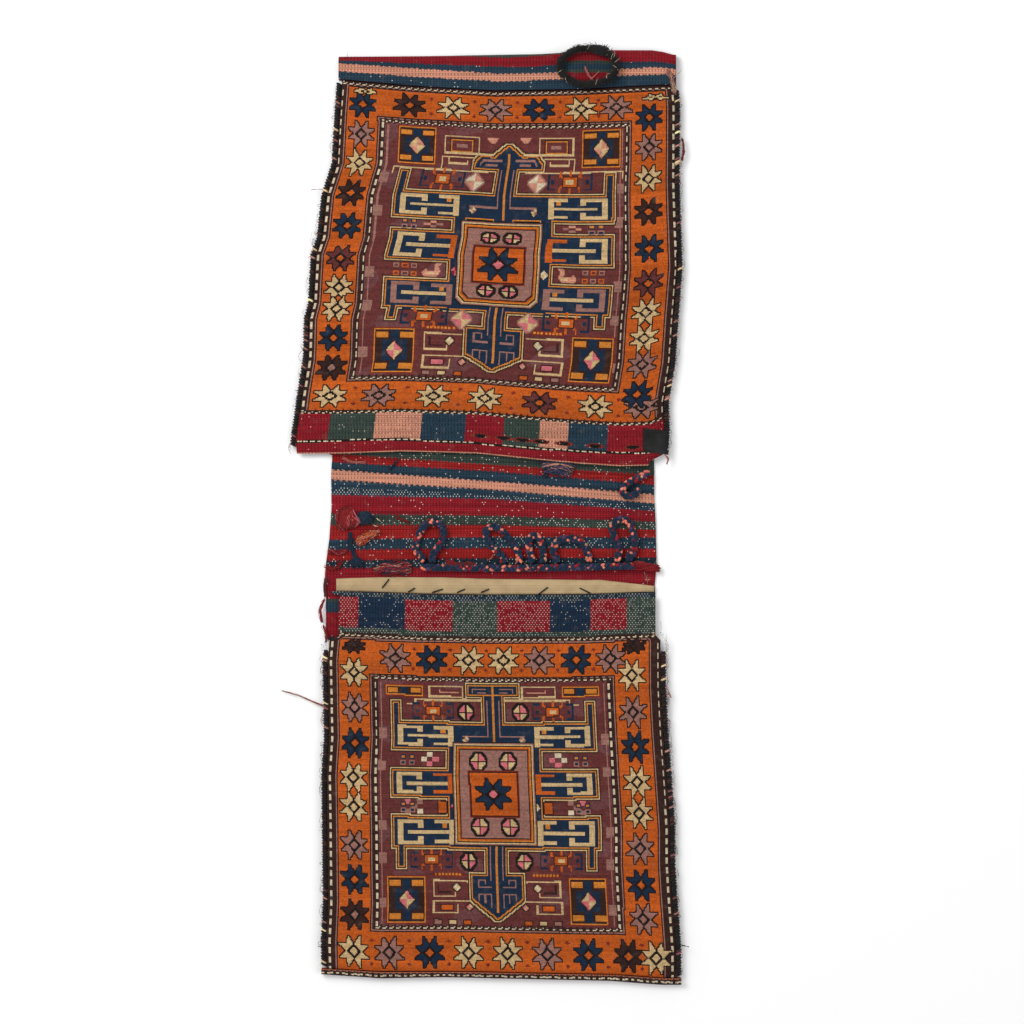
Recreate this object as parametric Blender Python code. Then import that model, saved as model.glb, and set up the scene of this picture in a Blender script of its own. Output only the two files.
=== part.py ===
"""A woven double saddle bag, laid flat and seen from its decorated side.

One long cloth is folded up at both ends to make two pockets, whose sides are sewn together with
goat hair and whose mouths face each other across a striped bridge. Both pocket faces are worked in
wrapped wefts: a star border between two dashed guards, round a hooked figure with a medallion. A
row of braided wool loops closes one pocket through the slits in the lip of the other.

Metres, +Z up, +Y towards the folded end of the upper pocket.
"""

import math

import bmesh
import bpy
import numpy as np
from mathutils import Vector
from mathutils.geometry import delaunay_2d_cdt

# Lengths along the bag
UPPER_POCKET = 0.539
BRIDGE = 0.189
LOWER_POCKET = 0.520
TOP_FOLD = 0.040
BOTTOM_FOLD = 0.008
CLOSING_BAND = 0.054
LOWER_BAND = 0.061

# Widths
POCKET_WIDTH = 0.475
BRIDGE_WIDTH = 0.437

# Layers, from the ground up
KILIM_THICK = 0.0026
STRIPE_CROWN = 0.0004
POCKET_GAP = 0.006
FACE_THICK = 0.0032
MOTIF_CROWN = 0.0005

# Sewing and trimmings
SEAM_WIDTH = 0.007
SEAM_RIDGE = 0.0005
SEAM_PITCH = 0.014
SEAM_START = 0.012
TAPE_WIDTH = 0.0215
TAPE_THICK = 0.0012
PATCH_WIDTH = 0.034
PATCH_LENGTH = 0.032
PATCH_THICK = 0.0012
SLIT_LENGTH = 0.016
SLIT_WIDTH = 0.0036
BRAID = 0.011
RING_LONG = 0.088
RING_WIDE = 0.060
RING_HAIR = 0.0115
KNOT = 0.017
RING_BUMP = 0.003
CLEARANCE = 0.0004
SPLIT_GAP = 0.0012

# Drawing of the faces
STAR = 0.041
STAR_TALL = 0.86
DASH = 0.0085
DASH_WIDE = 0.0026
DASH_LEAN = 0.00065
LINE = 0.0035

# Mesh steps
OUTLINE_STEP = 0.030
SIDE_STEP = 0.012
BRAID_STEP = 0.011
SPANS = 16
MOUTH_STEP = 0.012

# Heights and stations worked out from the above
FACE_LOW = KILIM_THICK + POCKET_GAP
FACE_TOP = FACE_LOW + FACE_THICK
BRIDGE_TOP = KILIM_THICK + STRIPE_CROWN
TOP_END = (UPPER_POCKET + BRIDGE + LOWER_POCKET) / 2
UPPER_MOUTH = TOP_END - UPPER_POCKET
LOWER_MOUTH = UPPER_MOUTH - BRIDGE

# Middle of the finished bag's box, which goes to the origin
MIDDLE = (-0.0002, 0.0030)

# How far each side edge runs outside (+) or inside (-) a straight one, in millimetres, against the
# share of the pocket's length from its mouth. A hand-made bag has drawn in and stretched.
UPPER_LEFT = ((0, 26), (0.03, 28), (0.12, 21), (0.15, 19), (0.24, 11), (0.34, 9.5), (0.38, 4),
              (0.5, 0.4), (0.545, -8), (0.65, -14), (0.73, -28), (0.86, -32), (1, -38))
UPPER_RIGHT = ((0, 8), (0.06, 10), (0.13, 9), (0.23, 18), (0.34, 22), (0.47, 27.5), (0.59, 25),
               (0.69, 23.5), (0.87, 24), (0.975, 20), (1, 17))
LOWER_LEFT = ((0, -31), (0.105, -30), (0.118, -18), (0.17, -15.5), (0.37, -17.5), (0.47, -14),
              (0.6, -15), (0.8, -16), (0.9, -13.5), (1, -14.5))
LOWER_RIGHT = ((0, -2), (0.105, -2), (0.118, 4.7), (0.24, 5), (0.36, 8.2), (0.49, 13.3), (0.61, 17.5),
               (0.7, 17.5), (0.78, 20), (0.92, 25.5), (1, 25.5))
BRIDGE_LEFT = ((0, -9.8), (0.13, -8), (0.38, -8.5), (0.6, -5.7), (0.75, -1.7), (0.85, 0.4), (1, -1))
BRIDGE_RIGHT = ((0, 8.2), (0.3, 8.2), (0.5, 10.2), (0.8, 11.5), (0.93, 8.8), (1, 10))

# How far each cross edge bows towards +Y, in millimetres, against the share of the pocket's width from
# the left
TOP_EDGE = ((0, -5), (0.05, -1), (0.33, 0), (0.65, 2.7), (0.83, 8), (0.96, 7), (1, -3))
TOP_SPLIT = ((0, 9), (0.1, 7.5), (0.2, 3.5), (0.29, -0.6), (0.525, -7), (0.75, -5), (1, 1))
UPPER_LIP = ((0, 1.4), (0.1, 2), (0.26, 4.7), (0.47, 2), (0.65, -6.8), (0.77, -12), (0.88, -15.5),
             (0.96, -14.5), (1, -6))
LOWER_LIP = ((0, 5.4), (0.12, 4), (0.32, 0.7), (0.5, -0.7), (0.78, 0), (1, 4))
BOTTOM_SPLIT = ((0, 8), (0.2, 2.5), (0.4, 3), (0.7, 0), (0.87, -1.4), (1, -6))
BOTTOM_EDGE = ((0, 8), (0.2, 1.4), (0.38, 3), (0.66, 0), (0.85, -2), (1, -7.4))

# Bridge stripes from the upper mouth down, and on behind the lower mouth: colour, then the share of the
# bridge at which it ends on the left, in the middle and on the right
STRIPES = (
    ("moss", (-0.014, 0.068, 0.137)), ("red", (0.047, 0.112, 0.209)), ("blue", (0.101, 0.187, 0.278)),
    ("salmon", (0.173, 0.245, 0.345)), ("blue", (0.281, 0.313, 0.400)), ("red", (0.417, 0.432, 0.475)),
    ("moss", (0.497, 0.497, 0.533)), ("red", (0.604, 0.583, 0.587)), ("blue", (0.676, 0.662, 0.669)),
    ("red", (0.756, 0.734, 0.731)), ("ink", (0.806, 0.799, 0.777)), ("red", (1.05, 1.05, 1.05)),
    ("blue", (1.123, 1.123, 1.123)), ("red", (1.30, 1.30, 1.30)), ("blue", (1.335, 1.335, 1.335)),
)
POCKET_STRIPE = 0.030
BOW_REACH = 0.080
POCKET_STRIPES = ("red", "blue", "salmon", "blue", "red", "moss")
FOLD_STRIPES = (("moss", 0.10), ("red", 0.33), ("blue", 0.50), ("salmon", 0.70), ("blue", 1.0))

# Borders of both faces: shares of the bag's width at which the outer dashes, the orange's outer and
# inner edge and the inner dashes lie, on both sides; the same down the drawing at its top and bottom;
# then each star's place and dye in the columns and rows (n navy, c cream, m mauve, b brown)
UPPER_BORDER = {
    "sides": (0.019, 0.037, 0.125, 0.143), "far_sides": (0.981, 0.959, 0.862, 0.847),
    "levels": (0.008, 0.018, 0.100, 0.112), "far_levels": (0.996, 0.989, 0.912, 0.902),
    "left": ((0.068, "n"), (0.158, "m"), (0.245, "c"), (0.337, "b"), (0.436, "n"), (0.535, "m"),
             (0.622, "c"), (0.705, "c"), (0.789, "n"), (0.875, "b")),
    "right": ((0.093, "n"), (0.181, "m"), (0.274, "c"), (0.372, "b"), (0.482, "n"), (0.580, "m"),
              (0.665, "c"), (0.749, "c"), (0.832, "m"), (0.915, "n")),
    "top": ((0.217, "b"), (0.344, "c"), (0.466, "m"), (0.592, "n"), (0.714, "c"), (0.815, "m")),
    "bottom": ((0.090, "c"), (0.220, "m"), (0.366, "c"), (0.505, "c"), (0.652, "m"), (0.802, "c")),
}
LOWER_BORDER = {
    "sides": (0.025, 0.048, 0.136, 0.154), "far_sides": (0.976, 0.950, 0.850, 0.833),
    "levels": (0.009, 0.022, 0.119, 0.130), "far_levels": (0.995, 0.987, 0.881, 0.870),
    "left": ((0.118, "c"), (0.223, "m"), (0.328, "n"), (0.430, "c"), (0.517, "c"), (0.630, "m"),
             (0.732, "n"), (0.836, "b")),
    "right": ((0.121, "c"), (0.229, "m"), (0.331, "n"), (0.434, "c"), (0.525, "c"), (0.628, "m"),
              (0.735, "n"), (0.834, "m")),
    "top": ((0.212, "m"), (0.318, "n"), (0.425, "c"), (0.527, "c"), (0.632, "m"), (0.739, "n"),
            (0.838, "m")),
    "bottom": ((0.092, "c"), (0.195, "m"), (0.302, "n"), (0.410, "c"), (0.518, "c"), (0.628, "m"),
               (0.742, "n"), (0.850, "b")),
}
STAR_DYES = {"n": "navy", "c": "cream", "m": "mauve", "b": "brown"}

# Hooked figures of both fields, in percent of the field: its middle line from the left; then, from the
# top, the three arms, the panels, the medallion, the low panels, the foot's heel and its tip
UPPER_FIGURE = {"axis": 52.0, "arms": ((27.6, 35.6), (43.0, 52.4), (62.4, 71.0)), "panel": (17.2, 26.0),
                "medallion": (38.4, 69.6), "low_panel": (73.6, 78.4), "heel": 89.6, "tip": 97.5,
                "pointed": True}
LOWER_FIGURE = {"axis": 50.0, "arms": ((18.6, 26.7), (37.5, 46.1), (56.4, 66.4)), "panel": (8.2, 17.6),
                "medallion": (26.4, 65.4), "low_panel": (68.6, 77.2), "heel": 88.0, "tip": 98.4,
                "pointed": False}
# Squares of the closing bands and where each ends, the tape's ends and its width in thousandths, and
# the slits, all as shares from the left
UPPER_SQUARES = (("red", 0.096), ("moss", 0.218), ("salmon", 0.340), ("blue", 0.460), ("red", 0.560),
                 ("moss", 0.655), ("salmon", 0.732), ("blue", 0.835), ("red", 1.0))
LOWER_SQUARES = (("red", 0.075), ("blue", 0.220), ("red", 0.362), ("moss", 0.503), ("red", 0.658),
                 ("blue", 0.786), ("red", 0.892), ("moss", 1.0))
TAPE_ENDS = (0.033, 0.998)
TAPE_SHAPE = ((0, 780), (0.18, 1000), (0.33, 1060), (0.5, 1000), (0.66, 960), (0.83, 880), (1, 370))
SLITS = (0.500, 0.562, 0.612, 0.660, 0.722, 0.805, 0.905)

COLOURS = {
    "orange": (0.62, 0.12, 0.010), "navy": (0.012, 0.034, 0.088), "cream": (0.65, 0.51, 0.22),
    "mauve": (0.26, 0.14, 0.14), "aubergine": (0.107, 0.028, 0.034), "brown": (0.045, 0.017, 0.014),
    "dark": (0.020, 0.012, 0.012), "pink": (0.75, 0.16, 0.20), "brass": (0.75, 0.31, 0.045),
    "red": (0.33, 0.014, 0.022), "moss": (0.062, 0.102, 0.076), "blue": (0.022, 0.058, 0.107),
    "salmon": (0.67, 0.25, 0.14), "ink": (0.016, 0.032, 0.045), "tape": (0.60, 0.46, 0.26),
    "patch": (0.012, 0.012, 0.012), "hair": (0.012, 0.010, 0.010), "purple": (0.08, 0.06, 0.12),
}


def clear_scene():
    for item in list(bpy.data.objects):
        bpy.data.objects.remove(item, do_unlink=True)


def material(name):
    """The dyed wool or cotton of one colour, made once."""
    found = bpy.data.materials.get(name)
    if found:
        return found
    made = bpy.data.materials.new(name)
    made.use_nodes = True
    shader = made.node_tree.nodes["Principled BSDF"]
    shader.inputs["Base Color"].default_value = (*COLOURS[name], 1)
    shader.inputs["Roughness"].default_value = 0.9
    shader.inputs["Metallic"].default_value = 0
    made.diffuse_color = (*COLOURS[name], 1)
    return made


def add_object(name, data, colours):
    item = bpy.data.objects.new(name, data)
    bpy.context.scene.collection.objects.link(item)
    for colour in colours:
        data.materials.append(material(colour))
    item.location = (-MIDDLE[0], -MIDDLE[1], 0)
    return item


def add_mesh(name, points, faces, colours, slots=None):
    """A closed mesh, its normals turned outwards."""
    data = bpy.data.meshes.new(name)
    data.from_pydata([tuple(map(float, p)) for p in points], [], faces)
    item = add_object(name, data, colours)
    if slots is not None:
        data.polygons.foreach_set("material_index", slots)
    shell = bmesh.new()
    shell.from_mesh(data)
    bmesh.ops.recalc_face_normals(shell, faces=shell.faces)
    shell.to_mesh(data)
    shell.free()
    return item


def along(profile, share):
    """A profile's height in metres at this share of its length."""
    at, height = zip(*profile)
    return float(np.interp(share, at, height)) / 1000


def bow(profile, x):
    """A cross edge's bow at this x, so that all pieces along the edge bend alike."""
    return along(profile, x / POCKET_WIDTH + 0.5)


def side_edges(y):
    """The x of the bag's left and right outer edges at this height on the page."""
    if y >= UPPER_MOUTH:
        share = (y - UPPER_MOUTH) / UPPER_POCKET
        left, right, half = along(UPPER_LEFT, share), along(UPPER_RIGHT, share), POCKET_WIDTH / 2
    elif y <= LOWER_MOUTH:
        share = (LOWER_MOUTH - y) / LOWER_POCKET
        left, right, half = -along(LOWER_LEFT, share), along(LOWER_RIGHT, share), POCKET_WIDTH / 2
        return -half + left, half + right
    else:
        share = (UPPER_MOUTH - y) / BRIDGE
        left, right, half = along(BRIDGE_LEFT, share), along(BRIDGE_RIGHT, share), BRIDGE_WIDTH / 2
    return -half - left, half + right


class Panel:
    """A stretch of cloth between two bowed cross edges, with the bag's own side edges."""

    def __init__(self, low, low_bow, high, high_bow, inset):
        self.low, self.low_bow, self.high, self.high_bow, self.inset = low, low_bow, high, high_bow, inset

    def place(self, across, up):
        """World x and y of the point at these shares of the width and the height."""
        y = self.low + (self.high - self.low) * up
        for _ in range(3):
            left, right = side_edges(y)
            x = left + self.inset + (right - left - 2 * self.inset) * across
            low = self.low + bow(self.low_bow, x)
            high = self.high + bow(self.high_bow, x)
            y = low + (high - low) * up
        return x, y


class Drawing:
    """Colour fields laid over each other in the flat, each as (points, colour, crown)."""

    def __init__(self, width, height):
        self.width, self.height, self.fields, self.holes = width, height, [], []
        rows = math.ceil(height / SIDE_STEP)
        self.field([(width * i / SPANS, 0) for i in range(SPANS)] +
                   [(width, height * i / rows) for i in range(rows)] +
                   [(width * i / SPANS, height) for i in range(SPANS, 0, -1)] +
                   [(0, height * i / rows) for i in range(rows, 0, -1)], "brown")

    def field(self, points, colour, crown=0.0):
        """A closed outline, turned anticlockwise, with points added on its long sides."""
        turn = sum(a[0] * b[1] - b[0] * a[1] for a, b in zip(points, points[1:] + points[:1]))
        points = points if turn > 0 else points[::-1]
        dense = []
        for a, b in zip(points, points[1:] + points[:1]):
            a, b = Vector(a), Vector(b)
            steps = max(1, math.ceil((b - a).length / OUTLINE_STEP))
            dense += [a.lerp(b, i / steps) for i in range(steps)]
        self.fields.append((dense, colour, crown))

    def box(self, x0, y0, x1, y1, colour, crown=0.0):
        self.field([(x0, y0), (x1, y0), (x1, y1), (x0, y1)], colour, crown)

    def frame(self, x0, y0, x1, y1, colours, line=LINE):
        """Boxes one inside the other, a line's width apart."""
        for i, colour in enumerate(colours):
            d = i * line
            self.box(x0 + d, y0 + d, x1 - d, y1 - d, colour)

    def diamond(self, x, y, r, colour, crown=0.0, tall=1.25):
        self.field([(x - r, y), (x, y - r * tall), (x + r, y), (x, y + r * tall)], colour, crown)

    def star(self, x, y, size, colour, heart="orange"):
        """An eight-pointed star of four crossed pairs of points, with a diamond at its heart."""
        r, n = size / 2, size * 0.24
        tips = ((1, 0.36), (0.42, 1))
        corners = [(tips[0][0] * r, tips[0][1] * r), (n, n), (tips[1][0] * r, tips[1][1] * r), (0, n * 1.15)]
        quarter = corners + [(-px, py) for px, py in reversed(corners[:3])] + [(-n * 1.15, 0)]
        outline = quarter[:8] + [(-px, -py) for px, py in quarter[:8]]
        self.field([(x + px, y + py * STAR_TALL) for px, py in outline], colour)
        self.diamond(x, y, size * 0.13, heart, MOTIF_CROWN, 1.1)

    def slit(self, x, y, length, width):
        """A lens-shaped opening through the cloth."""
        self.holes.append([Vector((x - length / 2, y)), Vector((x - length / 5, y - width / 2)),
                           Vector((x + length / 5, y - width / 2)), Vector((x + length / 2, y)),
                           Vector((x + length / 5, y + width / 2)), Vector((x - length / 5, y + width / 2))])

    def cloth(self, name, panel, low, top):
        """The panel's closed solid, its top cut into the drawing's fields and its underside flat."""
        outlines = [f[0] for f in self.fields] + self.holes
        crowns = [f[2] for f in self.fields] + [0.0] * len(self.holes)
        verts = [p for outline in outlines for p in outline]
        lift = [crown for outline, crown in zip(outlines, crowns) for _ in outline]
        ends = np.cumsum([0] + [len(o) for o in outlines])
        loops = [list(range(a, b)) for a, b in zip(ends, ends[1:])]
        points, _, faces, found, _, owners = delaunay_2d_cdt(verts, [], loops, 1, 1e-6)
        names = list(dict.fromkeys(f[1] for f in self.fields))
        shell = bmesh.new()
        for point, ids in zip(points, found):
            x, y = panel.place(min(max(point.x / self.width, 0), 1), min(max(point.y / self.height, 0), 1))
            shell.verts.new((x, y, top + max([lift[i] for i in ids], default=0.0)))
        shell.verts.ensure_lookup_table()
        for face, owner in zip(faces, owners):
            if not owner or max(owner) >= len(self.fields) or 0 not in owner:
                continue
            made = shell.faces.new([shell.verts[i] for i in face])
            made.material_index = names.index(self.fields[max(owner)][1])
        loose = [v for v in shell.verts if not v.link_faces]
        bmesh.ops.delete(shell, geom=loose, context="VERTS")
        made = bmesh.ops.extrude_face_region(shell, geom=shell.faces[:], use_keep_orig=True)
        under = [g for g in made["geom"] if isinstance(g, bmesh.types.BMVert)]
        for vert in under:
            vert.co.z = low
        bmesh.ops.recalc_face_normals(shell, faces=shell.faces)
        data = bpy.data.meshes.new(name)
        shell.to_mesh(data)
        shell.free()
        return add_object(name, data, names)


def dashes(drawing, a, b, slant=0.0):
    """Short bars along the line from a to b, leaning by slant."""
    a, b = Vector(a), Vector(b)
    run = (b - a).normalized()
    side = Vector((-run.y, run.x)) * DASH_WIDE / 2
    count = round((b - a).length / (2 * DASH))
    for i in range(count):
        middle = a.lerp(b, (i + 0.5) / count)
        start, end = middle - run * DASH / 2, middle + run * DASH / 2
        lean = Vector((-run.y, run.x)) * slant
        corners = [start - side - lean, end - side + lean, end + side + lean, start + side - lean]
        drawing.field(corners, "cream")


def border(d, low, high, plan):
    """Both dashed guards, the orange border and its stars; returns the inner field's box."""
    inset = (SEAM_WIDTH + CLEARANCE) / POCKET_WIDTH
    rim = DASH_WIDE / 2 + 2 * CLEARANCE

    def at(u, v):
        x = d.width * (u - inset) / (1 - 2 * inset)
        return min(max(x, rim), d.width - rim), high - v * (high - low)

    side, far, top, foot = (plan[key] for key in ("sides", "far_sides", "levels", "far_levels"))
    for number, colour in ((1, "orange"), (2, "brown")):
        (x0, y1), (x1, y0) = at(side[number], top[number]), at(far[number], foot[number])
        d.box(x0, y0, x1, y1, colour)
    for number in (0, 3):
        for u in (side[number], far[number]):
            dashes(d, at(u, top[number] + 0.008), at(u, foot[number] - 0.008))
        for v in (top[number], foot[number]):
            dashes(d, at(side[number] + 0.008, v), at(far[number] - 0.008, v), DASH_LEAN)
    for key, u in (("left", (side[1] + side[2]) / 2), ("right", (far[1] + far[2]) / 2)):
        for place, dye in plan[key]:
            d.star(*at(u, place), STAR, STAR_DYES[dye])
    for key, v in (("top", (top[1] + top[2]) / 2), ("bottom", (foot[1] + foot[2]) / 2)):
        for place, dye in plan[key]:
            d.star(*at(place, v), STAR, STAR_DYES[dye])
    (x0, y1), (x1, y0) = at(side[3], top[3]), at(far[3], foot[3])
    rim = DASH_WIDE * 1.5
    return x0 + rim, y0 + rim, x1 - rim, y1 - rim


class Figure:
    """The hooked figure: a navy body with three pairs of arms, a foot, a head and a medallion.

    Places are in percent of the field: a outwards from the middle line, b from the top.
    """

    def __init__(self, drawing, box, plan):
        self.d, self.field, self.plan = drawing, box, plan

    def spot(self, a, b):
        x0, y0, x1, y1 = self.field
        return x0 + (self.plan["axis"] + a) / 100 * (x1 - x0), y1 - b / 100 * (y1 - y0)

    def box(self, a0, b0, a1, b1, colour, grow=0.0):
        """The same box on both sides of the middle line."""
        for side in (-1, 1):
            (xa, ya), (xb, yb) = self.spot(side * a0, b0), self.spot(side * a1, b1)
            self.d.box(min(xa, xb) - grow, min(ya, yb) - grow, max(xa, xb) + grow, max(ya, yb) + grow, colour)

    def span(self, a, high, low, colour, grow=0.0):
        """A box across the middle line."""
        (x0, y1), (x1, y0) = self.spot(-a, high), self.spot(a, low)
        self.d.box(x0 - grow, y0 - grow, x1 + grow, y1 + grow, colour)

    def frame(self, a0, b0, a1, b1, colours, line=LINE):
        for i, colour in enumerate(colours):
            self.box(a0, b0, a1, b1, colour, -i * line)

    def diamond(self, a, b, r, colour, crown=0.0):
        for side in (-1, 1):
            self.d.diamond(*self.spot(side * a, b), r, colour, crown, 1.0)

    def draw(self):
        self.d.box(*self.field, "aubergine")
        self.body("cream", LINE * 0.8)
        self.body("navy", 0.0)
        heel, low = self.plan["heel"], self.plan["low_panel"][1]
        first, last = self.plan["arms"][0][0], self.plan["medallion"][1]
        self.span(0.5, 11 if self.plan["pointed"] else 3, first + 6, "brass")
        self.span(0.5, last, self.plan["tip"] - 4, "brass")
        for number, (high, arm_low) in enumerate(self.plan["arms"]):
            self.bracket(high, arm_low, "orange" if number == 1 else "cream")
        self.corner(low + 2.6, 97.6)
        if self.plan["pointed"]:
            self.corner(1.8, 15.6)
            self.frame(13, 5, 27, 11, ("cream", "aubergine"), LINE * 0.7)
        else:
            self.frame(30.2, 3.0, 45.2, 6.4, ("orange", "navy"), LINE * 0.7)
            self.frame(13, 2.8, 27, 6.8, ("cream", "aubergine"), LINE * 0.7)
        self.frame(12.4, low + 4, 26.2, heel, ("cream", "aubergine"), LINE * 0.7)
        self.frame(16.4, heel + 1.6, 26.6, heel + 6.2, ("cream", "pink"), LINE * 0.7)
        self.spider(*self.plan["panel"])
        self.spider(*self.plan["low_panel"])
        self.notches()
        self.medallion()

    def body(self, colour, grow):
        """The navy silhouette, or the same one grown by a line."""
        arms, panel, low = self.plan["arms"], self.plan["panel"], self.plan["low_panel"]
        for high, arm_low in arms:
            self.box(17, high, 42, arm_low, colour, grow)
        self.box(15, arms[0][0], 19, arms[2][1], colour, grow)
        self.box(40.4, panel[0] + 2, 42, arms[0][1], colour, grow)
        self.span(18, arms[0][0], arms[0][1], colour, grow)
        self.span(19, self.plan["medallion"][1] - 1, low[0] - 1.4, colour, grow)
        self.box(38.6, arms[2][0], 40.6, low[1] - 2, colour, grow)
        self.span(3.6, panel[0] - 2, self.plan["heel"], colour, grow)
        self.arrow(low[1] + 1.5, self.plan["heel"], self.plan["tip"], 10.2, colour, grow)
        if self.plan["pointed"]:
            self.arrow(16.4, 12.6, 7.6, 13.0, colour, grow)
        else:
            self.span(10.2, 2.6, 6.2, colour, grow)

    def arrow(self, start, shoulder, tip, half, colour, grow):
        """A pointed head on the middle line, from its flat end out to its tip."""
        way = 1 if tip > start else -1
        (left, y0), (right, y1), (middle, y2) = (self.spot(-half, start), self.spot(half, shoulder),
                                                 self.spot(0, tip))
        left, right, y0, y2 = left - grow, right + grow, y0 + way * grow, y2 - way * grow * 1.4
        self.d.field([(left, y0), (right, y0), (right, y1), (middle, y2), (left, y1)], colour)

    def bracket(self, high, low, end):
        """Nested cream brackets on one pair of arms, open towards the middle."""
        tall = low - high
        for a0, a1, b0, b1, colour in ((41, 38.8, 0.04, 0.96, "cream"), (38.8, 30.2, 0.04, 0.17, "cream"),
                                       (38.8, 30.2, 0.83, 0.96, "cream"), (36.8, 18.8, 0.43, 0.58, "cream"),
                                       (25.4, 17.6, 0.06, 0.18, end), (25.4, 17.6, 0.82, 0.94, end)):
            self.box(a1, high + tall * b0, a0, high + tall * b1, colour)

    def corner(self, high, low):
        """A boxed navy figure like a double T, with brass bars and a quartered diamond."""
        tall = low - high
        self.frame(30.4, high, 45.0, low, ("orange", "brown"), LINE * 0.8)
        self.box(32.9, high + tall * 0.26, 42.5, low - tall * 0.26, "navy")
        self.box(36.1, high + 1, 39.3, low - 1, "navy")
        for a in (33.1, 42.3):
            for b in (0.14, 0.86):
                self.box(a - 1.5, high + tall * (b - 0.045), a + 1.5, high + tall * (b + 0.045), "brass")
        self.diamond(37.7, (high + low) / 2, LINE * 2.6, "cream", MOTIF_CROWN)

    def spider(self, high, low):
        """A small eight-legged figure and a quartered diamond."""
        b = (high + low) / 2
        for side in (-1, 1):
            x, y = self.spot(side * 26, b)
            r = LINE * 2.2
            for dx, dy in ((-1, -1), (-1, 1), (1, -1), (1, 1)):
                leg = [(x + dx * r * 1.8, y + dy * r * 1.2), (x + dx * r * 2.2, y + dy * r * 0.8)]
                self.d.field([(x, y)] + leg, "orange")
            self.d.box(x - r, y - r * 0.6, x + r, y + r * 0.6, "orange", MOTIF_CROWN)
        self.diamond(12.2, b, LINE * 2.4, "cream", MOTIF_CROWN)

    def notches(self):
        """Small squares on the ground between the arms."""
        for (_, high), (low, _) in zip(self.plan["arms"], self.plan["arms"][1:]):
            b = (high + low) / 2
            for number, colour in enumerate(("pink", "mauve", "orange", "mauve")):
                a = 24 + 4.2 * number
                self.box(a, b - 1.4, a + 2.4, b + 1.4, colour)

    def medallion(self):
        """Nested lines round a mauve ground with four quartered octagons and a star in an orange square."""
        high, low = self.plan["medallion"]
        tall, middle = low - high, (high + low) / 2
        for i, colour in enumerate(("cream", "brown", "orange", "dark", "mauve")):
            self.span(14.6, high, low, colour, -i * LINE * 0.7)
        for b in (-0.335, 0.335):
            self.diamond(6.2, middle + b * tall, LINE * 2.6, "dark")
            self.diamond(6.2, middle + b * tall, LINE * 2.0, "pink", MOTIF_CROWN)
        for colour, grow in (("dark", LINE * 0.4), ("orange", 0.0)):
            self.span(9.8, middle - tall * 0.215, middle + tall * 0.215, colour, grow)
        self.d.star(*self.spot(0, middle), STAR, "navy", "pink")


def pocket_face(name, upper):
    """One pocket's decorated front with its row of closing squares at the mouth."""
    fold = TOP_FOLD if upper else BOTTOM_FOLD
    length = (UPPER_POCKET if upper else LOWER_POCKET) - fold
    width = POCKET_WIDTH - 2 * SEAM_WIDTH
    d = Drawing(width, length)
    mouth, base = (0, CLOSING_BAND) if upper else (length - LOWER_BAND, length)
    low, high = (CLOSING_BAND, length) if upper else (0, length - LOWER_BAND)
    start = 0.0
    for colour, end in UPPER_SQUARES if upper else LOWER_SQUARES:
        d.box(start * width, mouth, end * width, base, colour)
        start = end
    if upper:
        d.box(0, 0, width, CLOSING_BAND * 0.25, "red")
        dashes(d, (0.01, CLOSING_BAND * 0.27), (width - 0.01, CLOSING_BAND * 0.27))
        for share in SLITS:
            d.slit(share * width, CLOSING_BAND * 0.42, SLIT_LENGTH, SLIT_WIDTH)
    inset = SEAM_WIDTH + CLEARANCE
    box = border(d, low, high, UPPER_BORDER if upper else LOWER_BORDER)
    Figure(d, box, UPPER_FIGURE if upper else LOWER_FIGURE).draw()
    if upper:
        panel = Panel(UPPER_MOUTH, UPPER_LIP, TOP_END - TOP_FOLD - SPLIT_GAP, TOP_SPLIT, inset)
    else:
        panel = Panel(-TOP_END + BOTTOM_FOLD + SPLIT_GAP, BOTTOM_SPLIT, LOWER_MOUTH, LOWER_LIP, inset)
    return d.cloth(name, panel, FACE_LOW, FACE_TOP)


def back_stripes(top, bottom):
    """Every stripe of the back from the top end down: its colour and its lower end at three places."""
    stripes, start = [], UPPER_MOUTH + MOUTH_STEP / 2
    count = round((top - start) / POCKET_STRIPE)
    for i in range(count):
        low = top + (start - top) * (i + 1) / count
        stripes.append((POCKET_STRIPES[i % len(POCKET_STRIPES)], (low, low, low)))
    for colour, ends in STRIPES:
        stripes.append((colour, tuple(UPPER_MOUTH - BRIDGE * e for e in ends)))
    start = stripes[-1][1][0]
    count = round((start - bottom) / POCKET_STRIPE)
    for i in range(count):
        low = start + (bottom - start) * (i + 1) / count
        stripes.append((POCKET_STRIPES[i % len(POCKET_STRIPES)], (low, low, low)))
    return stripes


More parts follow.
